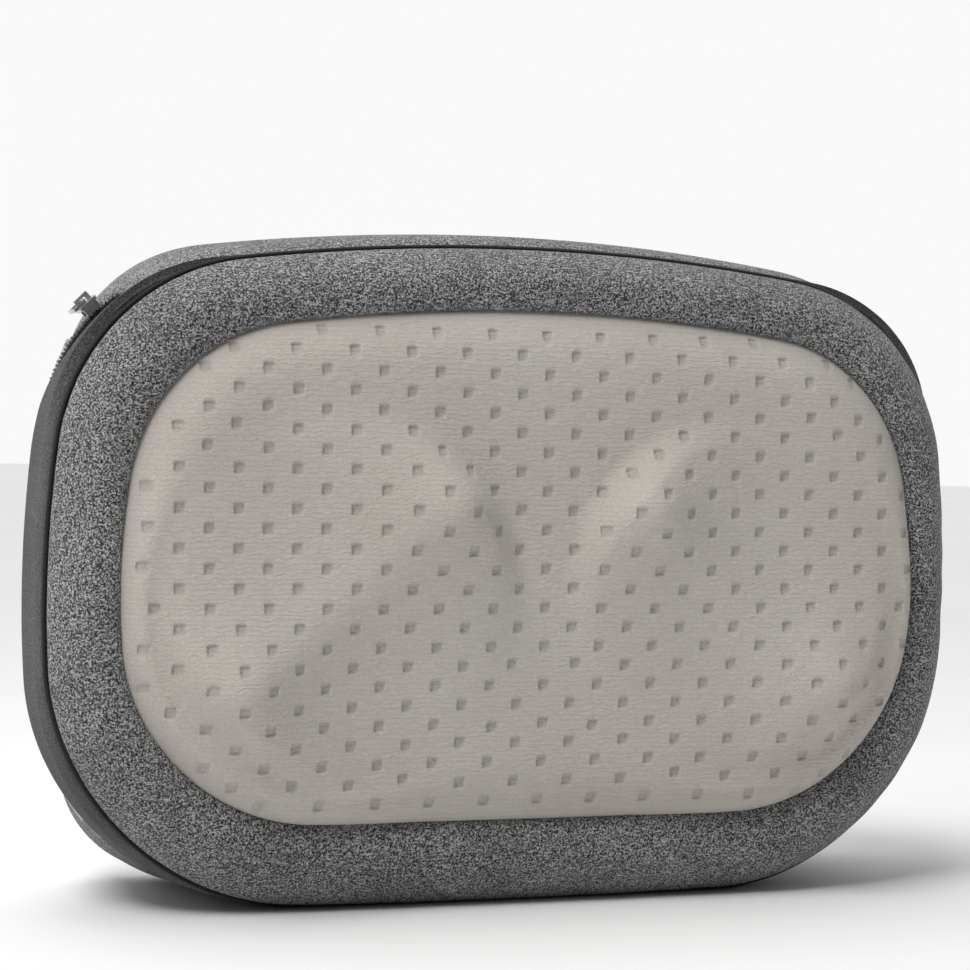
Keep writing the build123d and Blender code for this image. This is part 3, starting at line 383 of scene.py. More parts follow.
def hills(x, z):
    """Height of the cloth above LEVEL over the nodes, outwards."""
    total = np.zeros_like(x)
    for side, centre in discs.items():
        radius = np.hypot(x - centre[0], z - centre[1])
        window = step((ROUND - radius) / RIM_FADE)
        tips = [node_tips[side, place] for place in ("outer", "inner")]
        parts = []
        for tip in tips:
            rise = LEVEL - tip[2] + PEAK_ROOM
            far = np.hypot(x - tip[0], z - tip[1])
            parts.append(rise * np.exp(-(np.hypot(far, TIP_CORE) - TIP_CORE) / TIP_FALL))
        start, end = tips[0][:2], tips[1][:2]
        run = end - start
        share = np.clip(((x - start[0]) * run[0] + (z - start[1]) * run[1]) / (run @ run), 0, 1)
        off = np.hypot(x - start[0] - share * run[0], z - start[1] - share * run[1])
        ridge = RIDGE + RIDGE_ENDS * (2 * share - 1) ** 2
        parts.append(ridge * np.exp(-(np.hypot(off, RIDGE_CORE) - RIDGE_CORE) / RIDGE_FALL))
        joined = np.sum([part**BLEND for part in parts], 0) ** (1 / BLEND)
        total = np.maximum(total, joined * window)
    return total


# %% The cloth's depth anywhere on the panel
def edge_distance(x, z, ring):
    """Distance from each point to a ring of points."""
    start, end = ring, np.roll(ring, -1, axis=0)
    run = end - start
    long = (run**2).sum(1)
    best = np.full(len(x), np.inf)
    for a, d, l in zip(start, run, long):
        share = np.clip(((x - a[0]) * d[0] + (z - a[1]) * d[1]) / l, 0, 1)
        best = np.minimum(best, (x - a[0] - share * d[0]) ** 2 + (z - a[1] - share * d[1]) ** 2)
    return np.sqrt(best)


def cloth_depth(x, z, edge):
    """Y of the stretched cloth, from its distance to the panel's edge."""
    radius = np.min([np.hypot(x - c[0], z - c[1]) for c in discs.values()], axis=0)
    beyond = np.maximum(radius - ROUND, 0)
    room = edge + beyond + 1e-9
    share = np.clip(edge / room, 0, 1)
    power = np.clip(1.5 * room / (TUCK - LEVEL), 2.2, 7.0)
    depth = TUCK + (LEVEL - TUCK) * (1 - (1 - share) ** power)
    return depth - hills(x, z)


# %% [markdown]
# The dots are pressed in a staggered pattern: columns a centimetre apart, every other one
# half a step higher. The grid has lines just inside and outside each dot's rim, so each dot
# is real geometry at little cost. Dots that would be cut by a round edge are drawn aside a
# little, and the grid goes with them.

# %% The dotted grid
DOT_ACROSS, DOT_UP = 0.0098, 0.0130     # pitch of the dots
DOT_HALF = (0.00185, 0.0020)            # half a dot's width and height
DOT_DEPTH = 0.0010
DOT_COLUMNS = range(-15, 16)
DOT_EDGE = 0.0042                       # least distance from a dot to the panel's edge
DOT_CLEAR = 0.0027                      # least distance from a dot to a round edge
DOT_DRAW = 0.0032                       # how widely the cloth round a moved dot follows it
COLUMN_LINES = np.array([-4.9, -3.4, -2.3, -1.9, -1.4, -0.5, 0.5, 1.4, 1.9, 2.3, 3.4]) * mm
ROW_LINES = np.array([-2.4, -1.95, -1.45, -0.6, 0.6, 1.45, 1.95, 2.4]) * mm
PANEL_MIDDLE = (panel_low.z + panel_high.z) / 2


def dot_centres():
    """The middle of every dot well inside the panel's edge."""
    spots = np.array([(column * DOT_ACROSS,
                       PANEL_MIDDLE + (row + 0.5 * (column % 2)) * DOT_UP)
                      for column in DOT_COLUMNS for row in range(-8, 9)])
    spots = spots[np.abs(spots[:, 0]) < panel_high.x]
    edge = edge_distance(spots[:, 0], spots[:, 1], panel_ring) * signs(spots)
    return spots[edge > DOT_EDGE]


def signs(points):
    """1 for points inside the panel's ring and -1 for points outside it."""
    x, z = points[:, 0], points[:, 1]
    crossings = np.zeros(len(points), int)
    for a, b in zip(panel_ring, np.roll(panel_ring, -1, axis=0)):
        spans = (a[1] > z) != (b[1] > z)
        reach = a[0] + (z - a[1]) * (b[0] - a[0]) / (b[1] - a[1] + 1e-15)
        crossings += spans & (x < reach)
    return np.where(crossings % 2, 1, -1)


def aside(spots):
    """How far each dot moves so that no round edge cuts it."""
    push = np.zeros_like(spots)
    for centre in discs.values():
        radius = np.linalg.norm(spots - centre, axis=1)
        off = radius - ROUND
        close = np.abs(off) < DOT_CLEAR
        way = (spots - centre) / radius[:, None]
        goal = np.where(off >= 0, DOT_CLEAR, -DOT_CLEAR)
        push[close] += (way * (goal - off)[:, None])[close]
    return push


dots = dot_centres()
dot_push = aside(dots)
print(len(dots), "dots, of which", int((np.abs(dot_push).sum(1) > 0).sum()), "are drawn aside")


def grid(across, up):
    """The x and z of every crossing of a grid's lines, and its four-sided faces."""
    x, z = (a.ravel() for a in np.meshgrid(across, up))
    wide = len(across)
    start = (np.arange(len(up) - 1)[:, None] * wide + np.arange(wide - 1)).ravel()
    return x, z, np.stack([start, start + 1, start + wide + 1, start + wide], 1)


def dotted_grid():
    """Grid points in the cloth's plane, their pit share, and the four-sided faces."""
    across = np.concatenate([c * DOT_ACROSS + COLUMN_LINES for c in DOT_COLUMNS])
    up = np.concatenate([PANEL_MIDDLE + r * DOT_UP / 2 + ROW_LINES for r in range(-14, 15)])
    x, z, quads = grid(np.unique(across.round(7)), np.unique(up.round(7)))
    pit = np.zeros_like(x)
    shift = np.zeros((len(x), 2))
    for (cx, cz), push in zip(dots, dot_push):
        near = np.flatnonzero((np.abs(x - cx) < 0.009) & (np.abs(z - cz) < 0.009))
        u, v = np.abs(x[near] - cx) / DOT_HALF[0], np.abs(z[near] - cz) / DOT_HALF[1]
        size = (u**5 + v**5) ** 0.2
        pit[near] = np.maximum(pit[near], step((1.08 - size) / 0.34))
        if push.any():
            fade = np.exp(-((x[near] - cx) ** 2 + (z[near] - cz) ** 2) / (2 * DOT_DRAW**2))
            shift[near] += push * fade[:, None]
    return np.stack([x, z], 1) + shift, pit, quads


# %% Cut the grid into the three pieces
def snapped(points, used, target):
    """Moves the used points onto the nearest place that target gives for them."""
    points[used] = target(points[used])
    return points


def rim_points(quads):
    """The points on the open edge of a set of quads."""
    edges = np.sort(np.concatenate([quads[:, [k, (k + 1) % 4]] for k in range(4)]), axis=1)
    code = edges[:, 0].astype(np.int64) * 10**7 + edges[:, 1]
    _, first, count = np.unique(code, return_index=True, return_counts=True)
    return np.unique(edges[first[count == 1]])


def onto_panel_ring(points):
    """The nearest places on the panel's edge."""
    fine = outline(*panel_sizes, count=2400)
    best = [fine[np.argmin(((fine - p) ** 2).sum(1))] for p in points]
    return np.array(best)


def onto_circle(centre):
    """Moves points onto the round edge about a centre."""
    def move(points):
        away = points - centre
        return centre + away / np.linalg.norm(away, axis=1)[:, None] * ROUND
    return move


def cut_panel(points, quads):
    """Quads of each piece, with the rims drawn onto the panel's edge and the two circles."""
    middles = points[quads].mean(1)
    quads = quads[signs(middles) > 0]
    middles = points[quads].mean(1)
    points = snapped(points, rim_points(quads), onto_panel_ring)
    parts = {}
    left = np.ones(len(quads), bool)
    for side, centre in discs.items():
        inside = np.linalg.norm(middles - centre, axis=1) < ROUND
        parts[side] = quads[inside]
        left &= ~inside
        points = snapped(points, rim_points(quads[inside]), onto_circle(centre))
    parts["still"] = quads[left]
    return points, parts


def panel_pieces(kind, points, pit, parts, sink, thickness):
    """Three pieces of cloth at the cloth's depth plus sink."""
    edge = edge_distance(points[:, 0], points[:, 1], panel_ring)
    y = cloth_depth(points[:, 0], points[:, 1], edge) + sink + DOT_DEPTH * pit
    made = {}
    for part, quads in parts.items():
        used, index = np.unique(quads, return_inverse=True)
        spots = np.stack([points[used, 0], y[used], points[used, 1]], 1)
        piece = mesh_piece(f"{kind}_{part}", spots, index.reshape(-1, 4), 70)
        share = piece.data.attributes.new("pit", "FLOAT", "POINT")
        share.data.foreach_set("value", pit[used].astype(np.float32))
        thicken(piece, thickness, 75)
        made[part] = piece
        print(piece.name, len(piece.data.polygons), "faces")
    return made


cloth_points, cloth_pit, cloth_quads = dotted_grid()
cloth_points, cloth_parts = cut_panel(cloth_points, cloth_quads)
KNIT = 0.0014                # thickness of the knit
LINING_SINK = 0.0018         # how far the lining lies behind the knit's face
LINING = 0.0004              # thickness of the lining
panels = panel_pieces("panel_knit", cloth_points, cloth_pit, cloth_parts, 0.0, KNIT)

# %% The slippery lining behind the knit, on a coarser grid
LINING_PITCH = 0.0025
lining_x, lining_z, lining_quads = grid(np.arange(-0.145, 0.1451, LINING_PITCH),
                                        np.arange(0.0275, 0.2051, LINING_PITCH))
lining_points, lining_parts = cut_panel(np.stack([lining_x, lining_z], 1), lining_quads)
linings = panel_pieces("lining", lining_points, np.zeros(len(lining_points)), lining_parts,
                       LINING_SINK, LINING)

# %% Hang the panel pieces on their bodies, give the knit its finish and hide the CAD panel and liner
bodies_of = {"left": "left_arm", "right": "right_arm", "still": "root"}
for made, node, place, cloth in ((panels, "front_mesh_panel", "mesh_beige", panel_knit),
                                 (linings, "inner_liner", "lining_nylon", None)):
    for part, piece in made.items():
        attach(piece, bodies_of[part])
        if cloth:
            piece.data.materials.append(cloth)
    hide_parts(node)

# %% [markdown]
# ## The heather border
# The border is a soft ring of heather over foam. It rolls over a thin lip at the panel,
# crowns, and drops to the seam, where the needle pulls it in: so its section is a smooth
# line through a few points, and close to the seam it puckers a little.

# %% Border
def between(inner, outer, share):
    """The value a share of the way from inner to outer."""
    return inner + (outer - inner) * share


def with_y(ring, y):
    """A ring of (x, z) points put at a depth."""
    return np.stack([ring[:, 0], np.broadcast_to(y, len(ring)), ring[:, 1]], 1)


def ring_length(ring):
    """The length round a closed ring."""
    return float(np.linalg.norm(np.roll(ring, -1, axis=0) - ring, axis=1).sum())


def puckers(ring, pitch, seed):
    """A small uneven wave round a ring, from -1 to 1."""
    turns = round(ring_length(ring) / pitch)
    angle = np.arange(len(ring)) / len(ring) * 2 * math.pi
    slow = np.sin(angle * 7 + seed) + np.sin(angle * 11 + 2.1 * seed)
    return np.sin(angle * turns + 1.4 * slow) * (0.65 + 0.25 * np.sin(angle * 5 + seed))


COVER = 0.0022               # thickness of the heather cloth
SEAM_PULL = 0.00035          # depth of the puckers at the seam
CROWN_WAVE = 0.0005          # slow unevenness of the border's crown
border_profile = smooth_line([
    # share of the way from the panel's ring to the seam's, and the depth
    (-0.085, -0.0322), (-0.085, -0.0350), (-0.045, -0.0371), (0.06, -0.0383),
    (0.25, -0.0388), (0.46, -0.0377), (0.64, -0.0348), (0.80, -0.0308),
    (0.93, -0.0264), (0.985, -0.0234), (0.980, -0.0216), (0.93, -0.0206), (0.86, -0.0203)])
pucker = puckers(seam_ring, 0.021, 0.7)
soft_wave = puckers(seam_ring, 0.085, 2.0)
border_rings = []
for share, y in border_profile:
    ring = between(panel_ring, seam_ring, share)
    pull = math.exp(-((share - 0.93) / 0.16) ** 2)
    crown = math.exp(-((share - 0.4) / 0.35) ** 2)
    border_rings.append(with_y(ring, y + SEAM_PULL * pull * pucker
                               - CROWN_WAVE * crown * soft_wave))
border = skin("border_cover", border_rings, COVER)
border.data.materials.append(heather_cover)
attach(border, "root")
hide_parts("front_border_fabric")

# %% [markdown]
# The two covers meet on a fine cord in a fold of cloth, a thin tube that follows the seam.
# Its near-black colour is painted shade: it stands in for the shade in the seam's groove, so
# the dark line shows from every side.

# %% Piping, near-black as painted seam shade
FLOOR_GAP = 0.0004           # least height of a ring above the ground
NO_FLOOR = -9.0


def grown(ring, amount, floor=FLOOR_GAP):
    """A ring moved outwards by an amount, kept above the ground."""
    ahead, behind = np.roll(ring, -1, axis=0), np.roll(ring, 1, axis=0)
    along = ahead - behind
    normal = np.stack([along[:, 1], -along[:, 0]], 1)
    normal /= np.linalg.norm(normal, axis=1)[:, None]
    moved = ring + normal * np.reshape(amount, (-1, 1))
    moved[:, 1] = np.maximum(moved[:, 1], floor)
    return moved


def tube(name, path, radius, sides=8):
    """A closed tube round a closed path of points that lies near one plane across Y."""
    ring = np.stack([path[:, 0], path[:, 2]], 1)
    outward = grown(ring, 1.0, NO_FLOOR) - ring
    rings = []
    for turn in np.arange(sides + 1) * 2 * math.pi / sides:
        out = ring + outward * radius * math.cos(turn)
        rings.append(with_y(out, path[:, 1] - radius * math.sin(turn)))
    piece = skin(name, rings, 0)
    face_outwards(piece)
    return piece


# The near-black colour is painted shade of the seam's groove.
seam_shade_look = Look("seam_shade_cloth", 0.9, Sheen_Weight=0.1)
seam_shade_cloth = seam_shade_look.done(
    seam_shade_look.ramp(seam_shade_look.noise(1500.0, 2.0), (0.3, 0.008), (0.7, 0.030)),
    seam_shade_look.bump(seam_shade_look.wave(800.0, "DIAGONAL", 0.5), 0.0001))
PIPING = 0.00075             # radius of the piping
piping_path = with_y(grown(seam_ring, 0.0003, PIPING + 0.0003),
                     seam_y - 0.0001 + 0.00015 * pucker)
piping = tube("seam_shade_tube", piping_path, PIPING)
piping.data.materials.append(seam_shade_cloth)
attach(piping, "root")

# %% [markdown]
# ## The strip along the seam
# Behind the seam runs a strip of finer, darker cloth that hides the zip. It's about 25 mm
# wide with a crisp folded edge at the back. Towards the top of the zip it draws forward, to
# leave the slider free, and it closes up to the seam where the zip ends.

# %% Strip
zip_low, zip_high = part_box("zipper_coil")
zip_middle = (zip_low.y + zip_high.y) / 2
zip_top = zip_high.z
print("zip at y", round(zip_middle, 4), "up to z", round(zip_top, 4), "x", zip_low.x)


def strip_edge(z):
    """Y of the strip's rear edge at a height."""
    wide, closed = zip_middle - 0.0035, seam_y + 0.0014
    return between(wide, closed, step((z - 0.152) / 0.052))


def cover_edge(z):
    """Y of the back cover's front edge at a height."""
    return between(zip_middle + 0.0040, seam_y + 0.0012, step((z - 0.2035) / 0.0075))


STRIP, TAPE = 0.0009, 0.0006  # thickness of the strip and of the zip tape
strip_profile = smooth_line([
    # share of the way from the seam to the rear edge, and how far out
    (0.0, -0.0060), (0.02, -0.0012), (0.06, 0.0004), (0.16, 0.0007), (0.40, 0.0006),
    (0.75, 0.0011), (0.955, 0.0015), (1.0, 0.0012), (1.0, 0.0), (0.985, -0.0012),
    (0.90, -0.0022), (0.5, -0.0030)])
strip_rings = []
edge_y = strip_edge(band_ring[:, 1])
for share, out in strip_profile:
    ring = between(seam_ring, band_ring, min(1, share * 3))
    room = np.clip((edge_y - seam_y) / 0.020, 0.05, 1)
    ring = grown(ring, out * room if out > 0 else out)
    pull = math.exp(-(share / 0.12) ** 2)
    y = seam_y + 0.0002 + (edge_y - seam_y - 0.0002) * share + 0.0002 * pull * pucker
    strip_rings.append(with_y(ring, y))
strip = skin("zip_strip", strip_rings, STRIP)
strip.data.materials.append(strip_cloth)
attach(strip, "root")
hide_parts("zipper_tapes")

# %% Zip tape in the recess
tape_rings = [with_y(grown(band_ring, out), y) for out, y in smooth_line([
    (-0.0052, -0.0165), (-0.0036, -0.0120), (-0.0033, -0.0040), (-0.0032, 0.0080),
    (-0.0034, 0.0150), (-0.0052, 0.0190)], 2)]
tape = skin("zip_tape", tape_rings, TAPE)
tape.data.materials.append(tape_cloth)
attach(tape, "root")

# %% [markdown]
# ## The back cover
# The back is a squarer block of the same heather. From the zip it steps in over a soft
# shoulder, runs back nearly straight, and turns over a round edge onto a flat back. One loft
# carries it from the zip to the middle of the back.

# %% Back cover
SHOULDER_Y = 0.0270          # depth where the soft shoulder ends
TURN_IN = 0.004              # how far the front edge is turned in
back_sections = [
    # share of the way from the front edge to the shoulder, or a depth; then the outline
    ("front", 0.00, (0.1590, 0.0030, 0.2205, 0.062, 0.012, 0.015, 0.076, 0.005)),
    ("front", 0.00, (0.1610, 0.0010, 0.2226, 0.064, 0.012, 0.015, 0.076, 0.005)),
    ("front", 0.05, (0.1618, 0.0004, 0.2258, 0.064, 0.012, 0.016, 0.074, 0.004)),
    ("front", 0.25, (0.1600, 0.0004, 0.2288, 0.062, 0.011, 0.016, 0.070, 0.003)),
    ("front", 0.65, (0.1550, 0.0004, 0.2300, 0.056, 0.009, 0.014, 0.062, 0.001)),
    ("front", 1.00, (0.1510, 0.0004, 0.2292, 0.050, 0.008, 0.012, 0.055)),
    ("depth", 0.0340, (0.1500, 0.0004, 0.2280, 0.047, 0.008, 0.012, 0.052)),
    ("depth", 0.0440, (0.1492, 0.0006, 0.2250, 0.045, 0.008, 0.011, 0.050)),
    ("depth", 0.0525, (0.1462, 0.0030, 0.2190, 0.038, 0.008, 0.010)),
    ("depth", 0.0575, (0.1405, 0.0085, 0.2130, 0.036, 0.008, 0.010)),
    ("depth", 0.0597, (0.1330, 0.0160, 0.2055, 0.034, 0.008, 0.010)),
    ("depth", 0.0602, (0.1200, 0.0290, 0.1925, 0.032, 0.008, 0.010)),
]
front_of_cover = cover_edge(band_ring[:, 1])
rows = []
for kind, at, sizes in back_sections:
    ring = outline(*sizes)
    depth = front_of_cover + (SHOULDER_Y - front_of_cover) * at if kind == "front" else at
    rows.append(with_y(ring, depth))
rows[0][:, 1] += TURN_IN
rows = np.array(rows)
line = smooth_line(rows.reshape(len(rows), -1), 2)
cover_rings = list(line.reshape(len(line), RING, 3))
last = cover_rings[-1]
centre = last.mean(0)
for share in (0.8, 0.6, 0.4, 0.2, 0.07):
    ring = centre + (last - centre) * share
    ring[:, 1] = last[:, 1].mean() + 0.0008 * (1 - share**2)
    cover_rings.append(ring)
cover = skin("back_cover", cover_rings, COVER, capped=True)
cover.data.materials.append(heather_cover)
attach(cover, "root")
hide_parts("rear_cover_fabric")

# %% [markdown]
# ## Foam under the covers
# Foam fills the covers, so each foam piece is the cover's own shape drawn in by the cloth's
# thickness, with a wall of its own. It's hidden, but it has to end where the cloth begins.

# %% Foam
def sunk(rings, depth):
    """The rings drawn in along the skin's own normals."""
    rings = np.asarray(rings, float)
    around = np.roll(rings, -1, axis=1) - np.roll(rings, 1, axis=1)
    along = np.gradient(rings, axis=0)
    normal = np.cross(around, along)
    normal /= np.linalg.norm(normal, axis=2)[..., None] + 1e-12
    middle = rings.reshape(-1, 3).mean(0)
    if (normal * (rings - middle)).sum() < 0:
        normal = -normal
    return rings - normal * depth


CLOTH = 0.0027               # depth of the foam's face under the cover's
FOAM_WALL = 0.0045           # thickness that each foam is given
foams = {"front_foam": (sunk(border_rings, CLOTH)[14:-44:2], "front_foam_ring"),
         "back_foam": (sunk(cover_rings[8:], CLOTH)[::2], "rear_foam_pad")}
for name, (rings, node) in foams.items():
    foam = skin(name, rings, FOAM_WALL)
    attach(foam, "root")
    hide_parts(node)
    foams[name] = foam

# %% [markdown]
# ## Zip teeth
# A coil zip is a row of small nylon loops at one and a half millimetre pitch. One tooth is
# modelled as a low block with its top edges cut, and copied along the tape, each one turned
# to follow it. The row stops where the zip ends, on both sides.

# %% Teeth
def bar_faces(base, rows, count):
    """The sides and both ends of a small closed bar whose points start at base."""
    ends = [range(count)[::-1], range((rows - 1) * count, rows * count)]
    return [tuple(base + k for k in face) for face in loft_faces(rows, count) + ends]


def teeth_row(name, ring, y, pitch=0.0015):
    """Low bevelled blocks along the part of a ring that lies below the zip's top end."""
    long = np.linalg.norm(np.roll(ring, -1, axis=0) - ring, axis=1)
    far = np.concatenate([[0], np.cumsum(long)])
    closed = np.concatenate([ring, ring[:1]])
    at = np.arange(0, far[-1], pitch)
    spots = np.stack([np.interp(at, far, closed[:, k]) for k in (0, 1)], 1)
    ahead = np.roll(spots, -1, axis=0) - np.roll(spots, 1, axis=0)
    ahead /= np.linalg.norm(ahead, axis=1)[:, None]
    out = np.stack([ahead[:, 1], -ahead[:, 0]], 1)
    points, faces = [], []
    for number, (spot, a, o) in enumerate(zip(spots, ahead, out)):
        if spot[1] > zip_top:
            continue
        base, lean = len(points), 0.0004 * (1 if number % 2 else -1)
        for height, half_along, half_across in ((0.0, 0.50, 1.75), (0.0009, 0.50, 1.75),
                                                (0.0014, 0.26, 1.35)):
            for sa, sy in ((-1, -1), (1, -1), (1, 1), (-1, 1)):
                p = spot + a * sa * half_along * mm + o * height
                points.append((p[0], y + lean + sy * half_across * mm, p[1]))
        faces += bar_faces(base, 3, 4)
    piece = mesh_piece(name, points, faces, 30)
    face_outwards(piece)
    return piece


teeth = teeth_row("zip_teeth", grown(band_ring, -0.0032), zip_middle)
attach(teeth, "root")
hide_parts("zipper_coil")
print("zip teeth have", len(teeth.data.polygons), "faces")

# %% [markdown]
# ## Stitches
# A row of stitches holds the cover's front edge to the zip tape. One stitch is a short, fat
# thread with pointed ends, modelled once and laid along the edge at an even pitch.

# %% Stitch row
def stitch_row(name, path, outward, pitch=0.0036, long=0.0023, fat=0.00034):
    """Short threads along a closed path of points, each turned to follow it."""
    step_long = np.linalg.norm(np.roll(path, -1, axis=0) - path, axis=1)
    far = np.concatenate([[0], np.cumsum(step_long)])
    closed = np.concatenate([path, path[:1]])
    normal = np.concatenate([outward, outward[:1]])
    count = int(far[-1] / pitch)
    at = (np.arange(count) + 0.5) * far[-1] / count

    def read(values, where):
        return np.stack([np.interp(where, far, values[:, k]) for k in range(3)], 1)

    middle, up = read(closed, at), read(normal, at)
    ahead = read(closed, np.clip(at + 0.001, 0, far[-1])) - read(closed, at - 0.001)
    ahead /= np.linalg.norm(ahead, axis=1)[:, None]
    cross = np.cross(ahead, up)
    sections = [(-0.5, 0.25), (-0.32, 0.85), (0.0, 1.0), (0.32, 0.85), (0.5, 0.25)]
    points, faces = [], []
    for m, u, a, c in zip(middle, up, ahead, cross):
        base = len(points)
        for share, size in sections:
            for turn in range(6):
                angle = turn * math.pi / 3
                points.append(m + a * long * share + (u * (math.sin(angle) - 0.1)
                                                      + c * math.cos(angle)) * fat * size)
        faces += bar_faces(base, len(sections), 6)
    piece = mesh_piece(name, points, faces, 80)
    face_outwards(piece)
    return piece


thread = Look("sewing_thread", 0.6, Sheen_Weight=0.2)
sewing_thread = thread.done(
    thread.ramp(thread.noise(2400.0, 2.0), (0.3, 0.10), (0.7, 0.20)),
    thread.bump(thread.wave(900.0, "DIAGONAL", 1.0), 0.0001))
STITCHED = 7                 # the cover ring that the stitches follow
stitch_path = cover_rings[STITCHED]
stitch_out = np.zeros_like(stitch_path)
stitch_out[:, 0::2] = grown(stitch_path[:, 0::2], 1.0, NO_FLOOR) - stitch_path[:, 0::2]
stitches = stitch_row("cover_stitches", stitch_path, stitch_out)
stitches.data.materials.append(sewing_thread)
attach(stitches, "root")
print("stitch row with", len(stitches.data.polygons), "faces")

# %% [markdown]
# ## Finishes for the CAD nodes
# The hard parts keep their CAD shape. Each gets a finish of its own kind: moulded plastic
# has a fine texture and paler rubbed edges, turned steel a faint ring of tool marks, cast
# foam its cells. A table says which node is made of what.

# %% Moulded, turned and cast finishes
def moulded(name, colour, roughness, grain=900.0, depth=0.00012, sheen=0.0, glow=0.0):
    look = Look(name, roughness, Specular_IOR_Level=0.4, Sheen_Weight=sheen)
    cells = look.noise(grain, 3.0, 0.6)
    cloud = look.noise(40.0, 3.0)
    shade = tuple(c * 0.78 for c in colour)
    base = look.mix(look.ramp(cloud, (0.3, 0.0), (0.7, 1.0)), colour, shade)
    worn = look.node("ShaderNodeNewGeometry").outputs["Pointiness"]
    pale = tuple(min(1.0, c * 1.5 + 0.02) for c in colour)
    base = look.mix(look.ramp(worn, (0.53, 0.0), (0.60, 0.55)), base, pale)
    gloss = look.ramp(cells, (0.3, roughness * 0.85), (0.7, min(1.0, roughness * 1.15)))
    if glow:
        look.shader.inputs["Emission Color"].default_value = (*colour, 1)
        look.shader.inputs["Emission Strength"].default_value = glow
    return look.done(base, look.bump(cells, depth), gloss)


def turned(name, colour, roughness, marks=700.0, direction="X", depth=0.00003):
    look = Look(name, roughness, 1.0, Anisotropic=0.3)
    tool = look.wave(marks, direction, 1.2, 2.0)
    scuffs = look.noise(260.0, 4.0, 0.7)
    dull = tuple(c * 0.7 for c in colour)
    base = look.mix(look.ramp(scuffs, (0.42, 0.0), (0.72, 1.0)), colour, dull)
    height = look.math("ADD", tool, look.math("MULTIPLY", scuffs, 0.6))
    gloss = look.ramp(scuffs, (0.3, roughness * 0.8), (0.75, min(1.0, roughness * 1.5)))
    return look.done(base, look.bump(height, depth), gloss)


finishes = {
    "foam": moulded("foam_cells", (0.62, 0.60, 0.55), 0.95, 420.0, 0.0009, 0.2),
    "housing_plastic": moulded("housing_plastic", (0.05, 0.052, 0.055), 0.5),
    "arm_plastic": moulded("arm_plastic", (0.62, 0.62, 0.60), 0.4),
    "node_plastic": moulded("node_plastic", (0.60, 0.45, 0.33), 0.45),
    "cap_plastic": moulded("cap_plastic", (0.42, 0.30, 0.22), 0.4),
    "gear_nylon": moulded("gear_nylon", (0.78, 0.76, 0.70), 0.4, 500.0),
    "motor_cap_plastic": moulded("motor_cap_plastic", (0.04, 0.04, 0.045), 0.45),
    "mount_rubber": moulded("mount_rubber", (0.025, 0.025, 0.025), 0.8, 300.0, 0.0002, 0.1),
    "board_green": moulded("board_resist", (0.02, 0.16, 0.06), 0.3, 1500.0, 0.00005),
    "bezel_plastic": moulded("bezel_plastic", (0.022, 0.023, 0.025), 0.42, 1600.0),
    "button_plastic": moulded("button_plastic", (0.14, 0.145, 0.15), 0.38, 1800.0),
    "lead_insulation": moulded("lead_insulation", (0.45, 0.03, 0.02), 0.45, 600.0),
    "magnet": moulded("magnet_ferrite", (0.07, 0.07, 0.075), 0.6, 500.0),
    "lamp_glass": moulded("lamp_glass", (0.55, 0.05, 0.02), 0.15, 300.0, 0.00003, 0.0, 0.3),
    "zip_plastic": moulded("zip_plastic", (0.035, 0.035, 0.037), 0.45, 900.0),
    "zip_metal": turned("zip_metal", (0.62, 0.62, 0.63), 0.34, 500.0, "Z"),
    "screw_steel": turned("screw_steel", (0.55, 0.55, 0.56), 0.3, 2600.0, "Y"),
    "bush_brass": turned("bush_brass", (0.72, 0.52, 0.24), 0.3, 1500.0, "Y"),
    "motor_steel": turned("motor_steel", (0.60, 0.61, 0.62), 0.35, 900.0, "X"),
    "rotor_iron": turned("rotor_iron", (0.30, 0.30, 0.31), 0.5, 1800.0, "X"),
    "copper": turned("copper", (0.75, 0.36, 0.22), 0.35, 2400.0, "X"),
    "shaft_steel": turned("shaft_steel", (0.66, 0.66, 0.67), 0.22, 1600.0, "Y"),
    "worm_steel": turned("worm_steel", (0.50, 0.50, 0.52), 0.3, 1400.0, "X"),
    "jack_metal": turned("jack_metal", (0.70, 0.69, 0.66), 0.25, 2000.0, "X"),
}
lining = Look("lining_nylon", 0.4, Sheen_Weight=0.1)
finishes["lining_nylon"] = lining.done(
    lining.ramp(lining.wave(420.0, "DIAGONAL", 0.3), (0.2, 0.42), (0.8, 0.52)),
    lining.bump(lining.wave(420.0, "DIAGONAL", 0.3), 0.00008))
finishes["mesh_beige"], finishes["melange_cover"] = panel_knit, heather_cover
finishes["band_fabric"] = strip_cloth
for piece in linings.values():
    piece.data.materials.append(finishes["lining_nylon"])
for foam in foams.values():
    foam.data.materials.append(finishes["foam"])
teeth.data.materials.append(finishes["zip_plastic"])

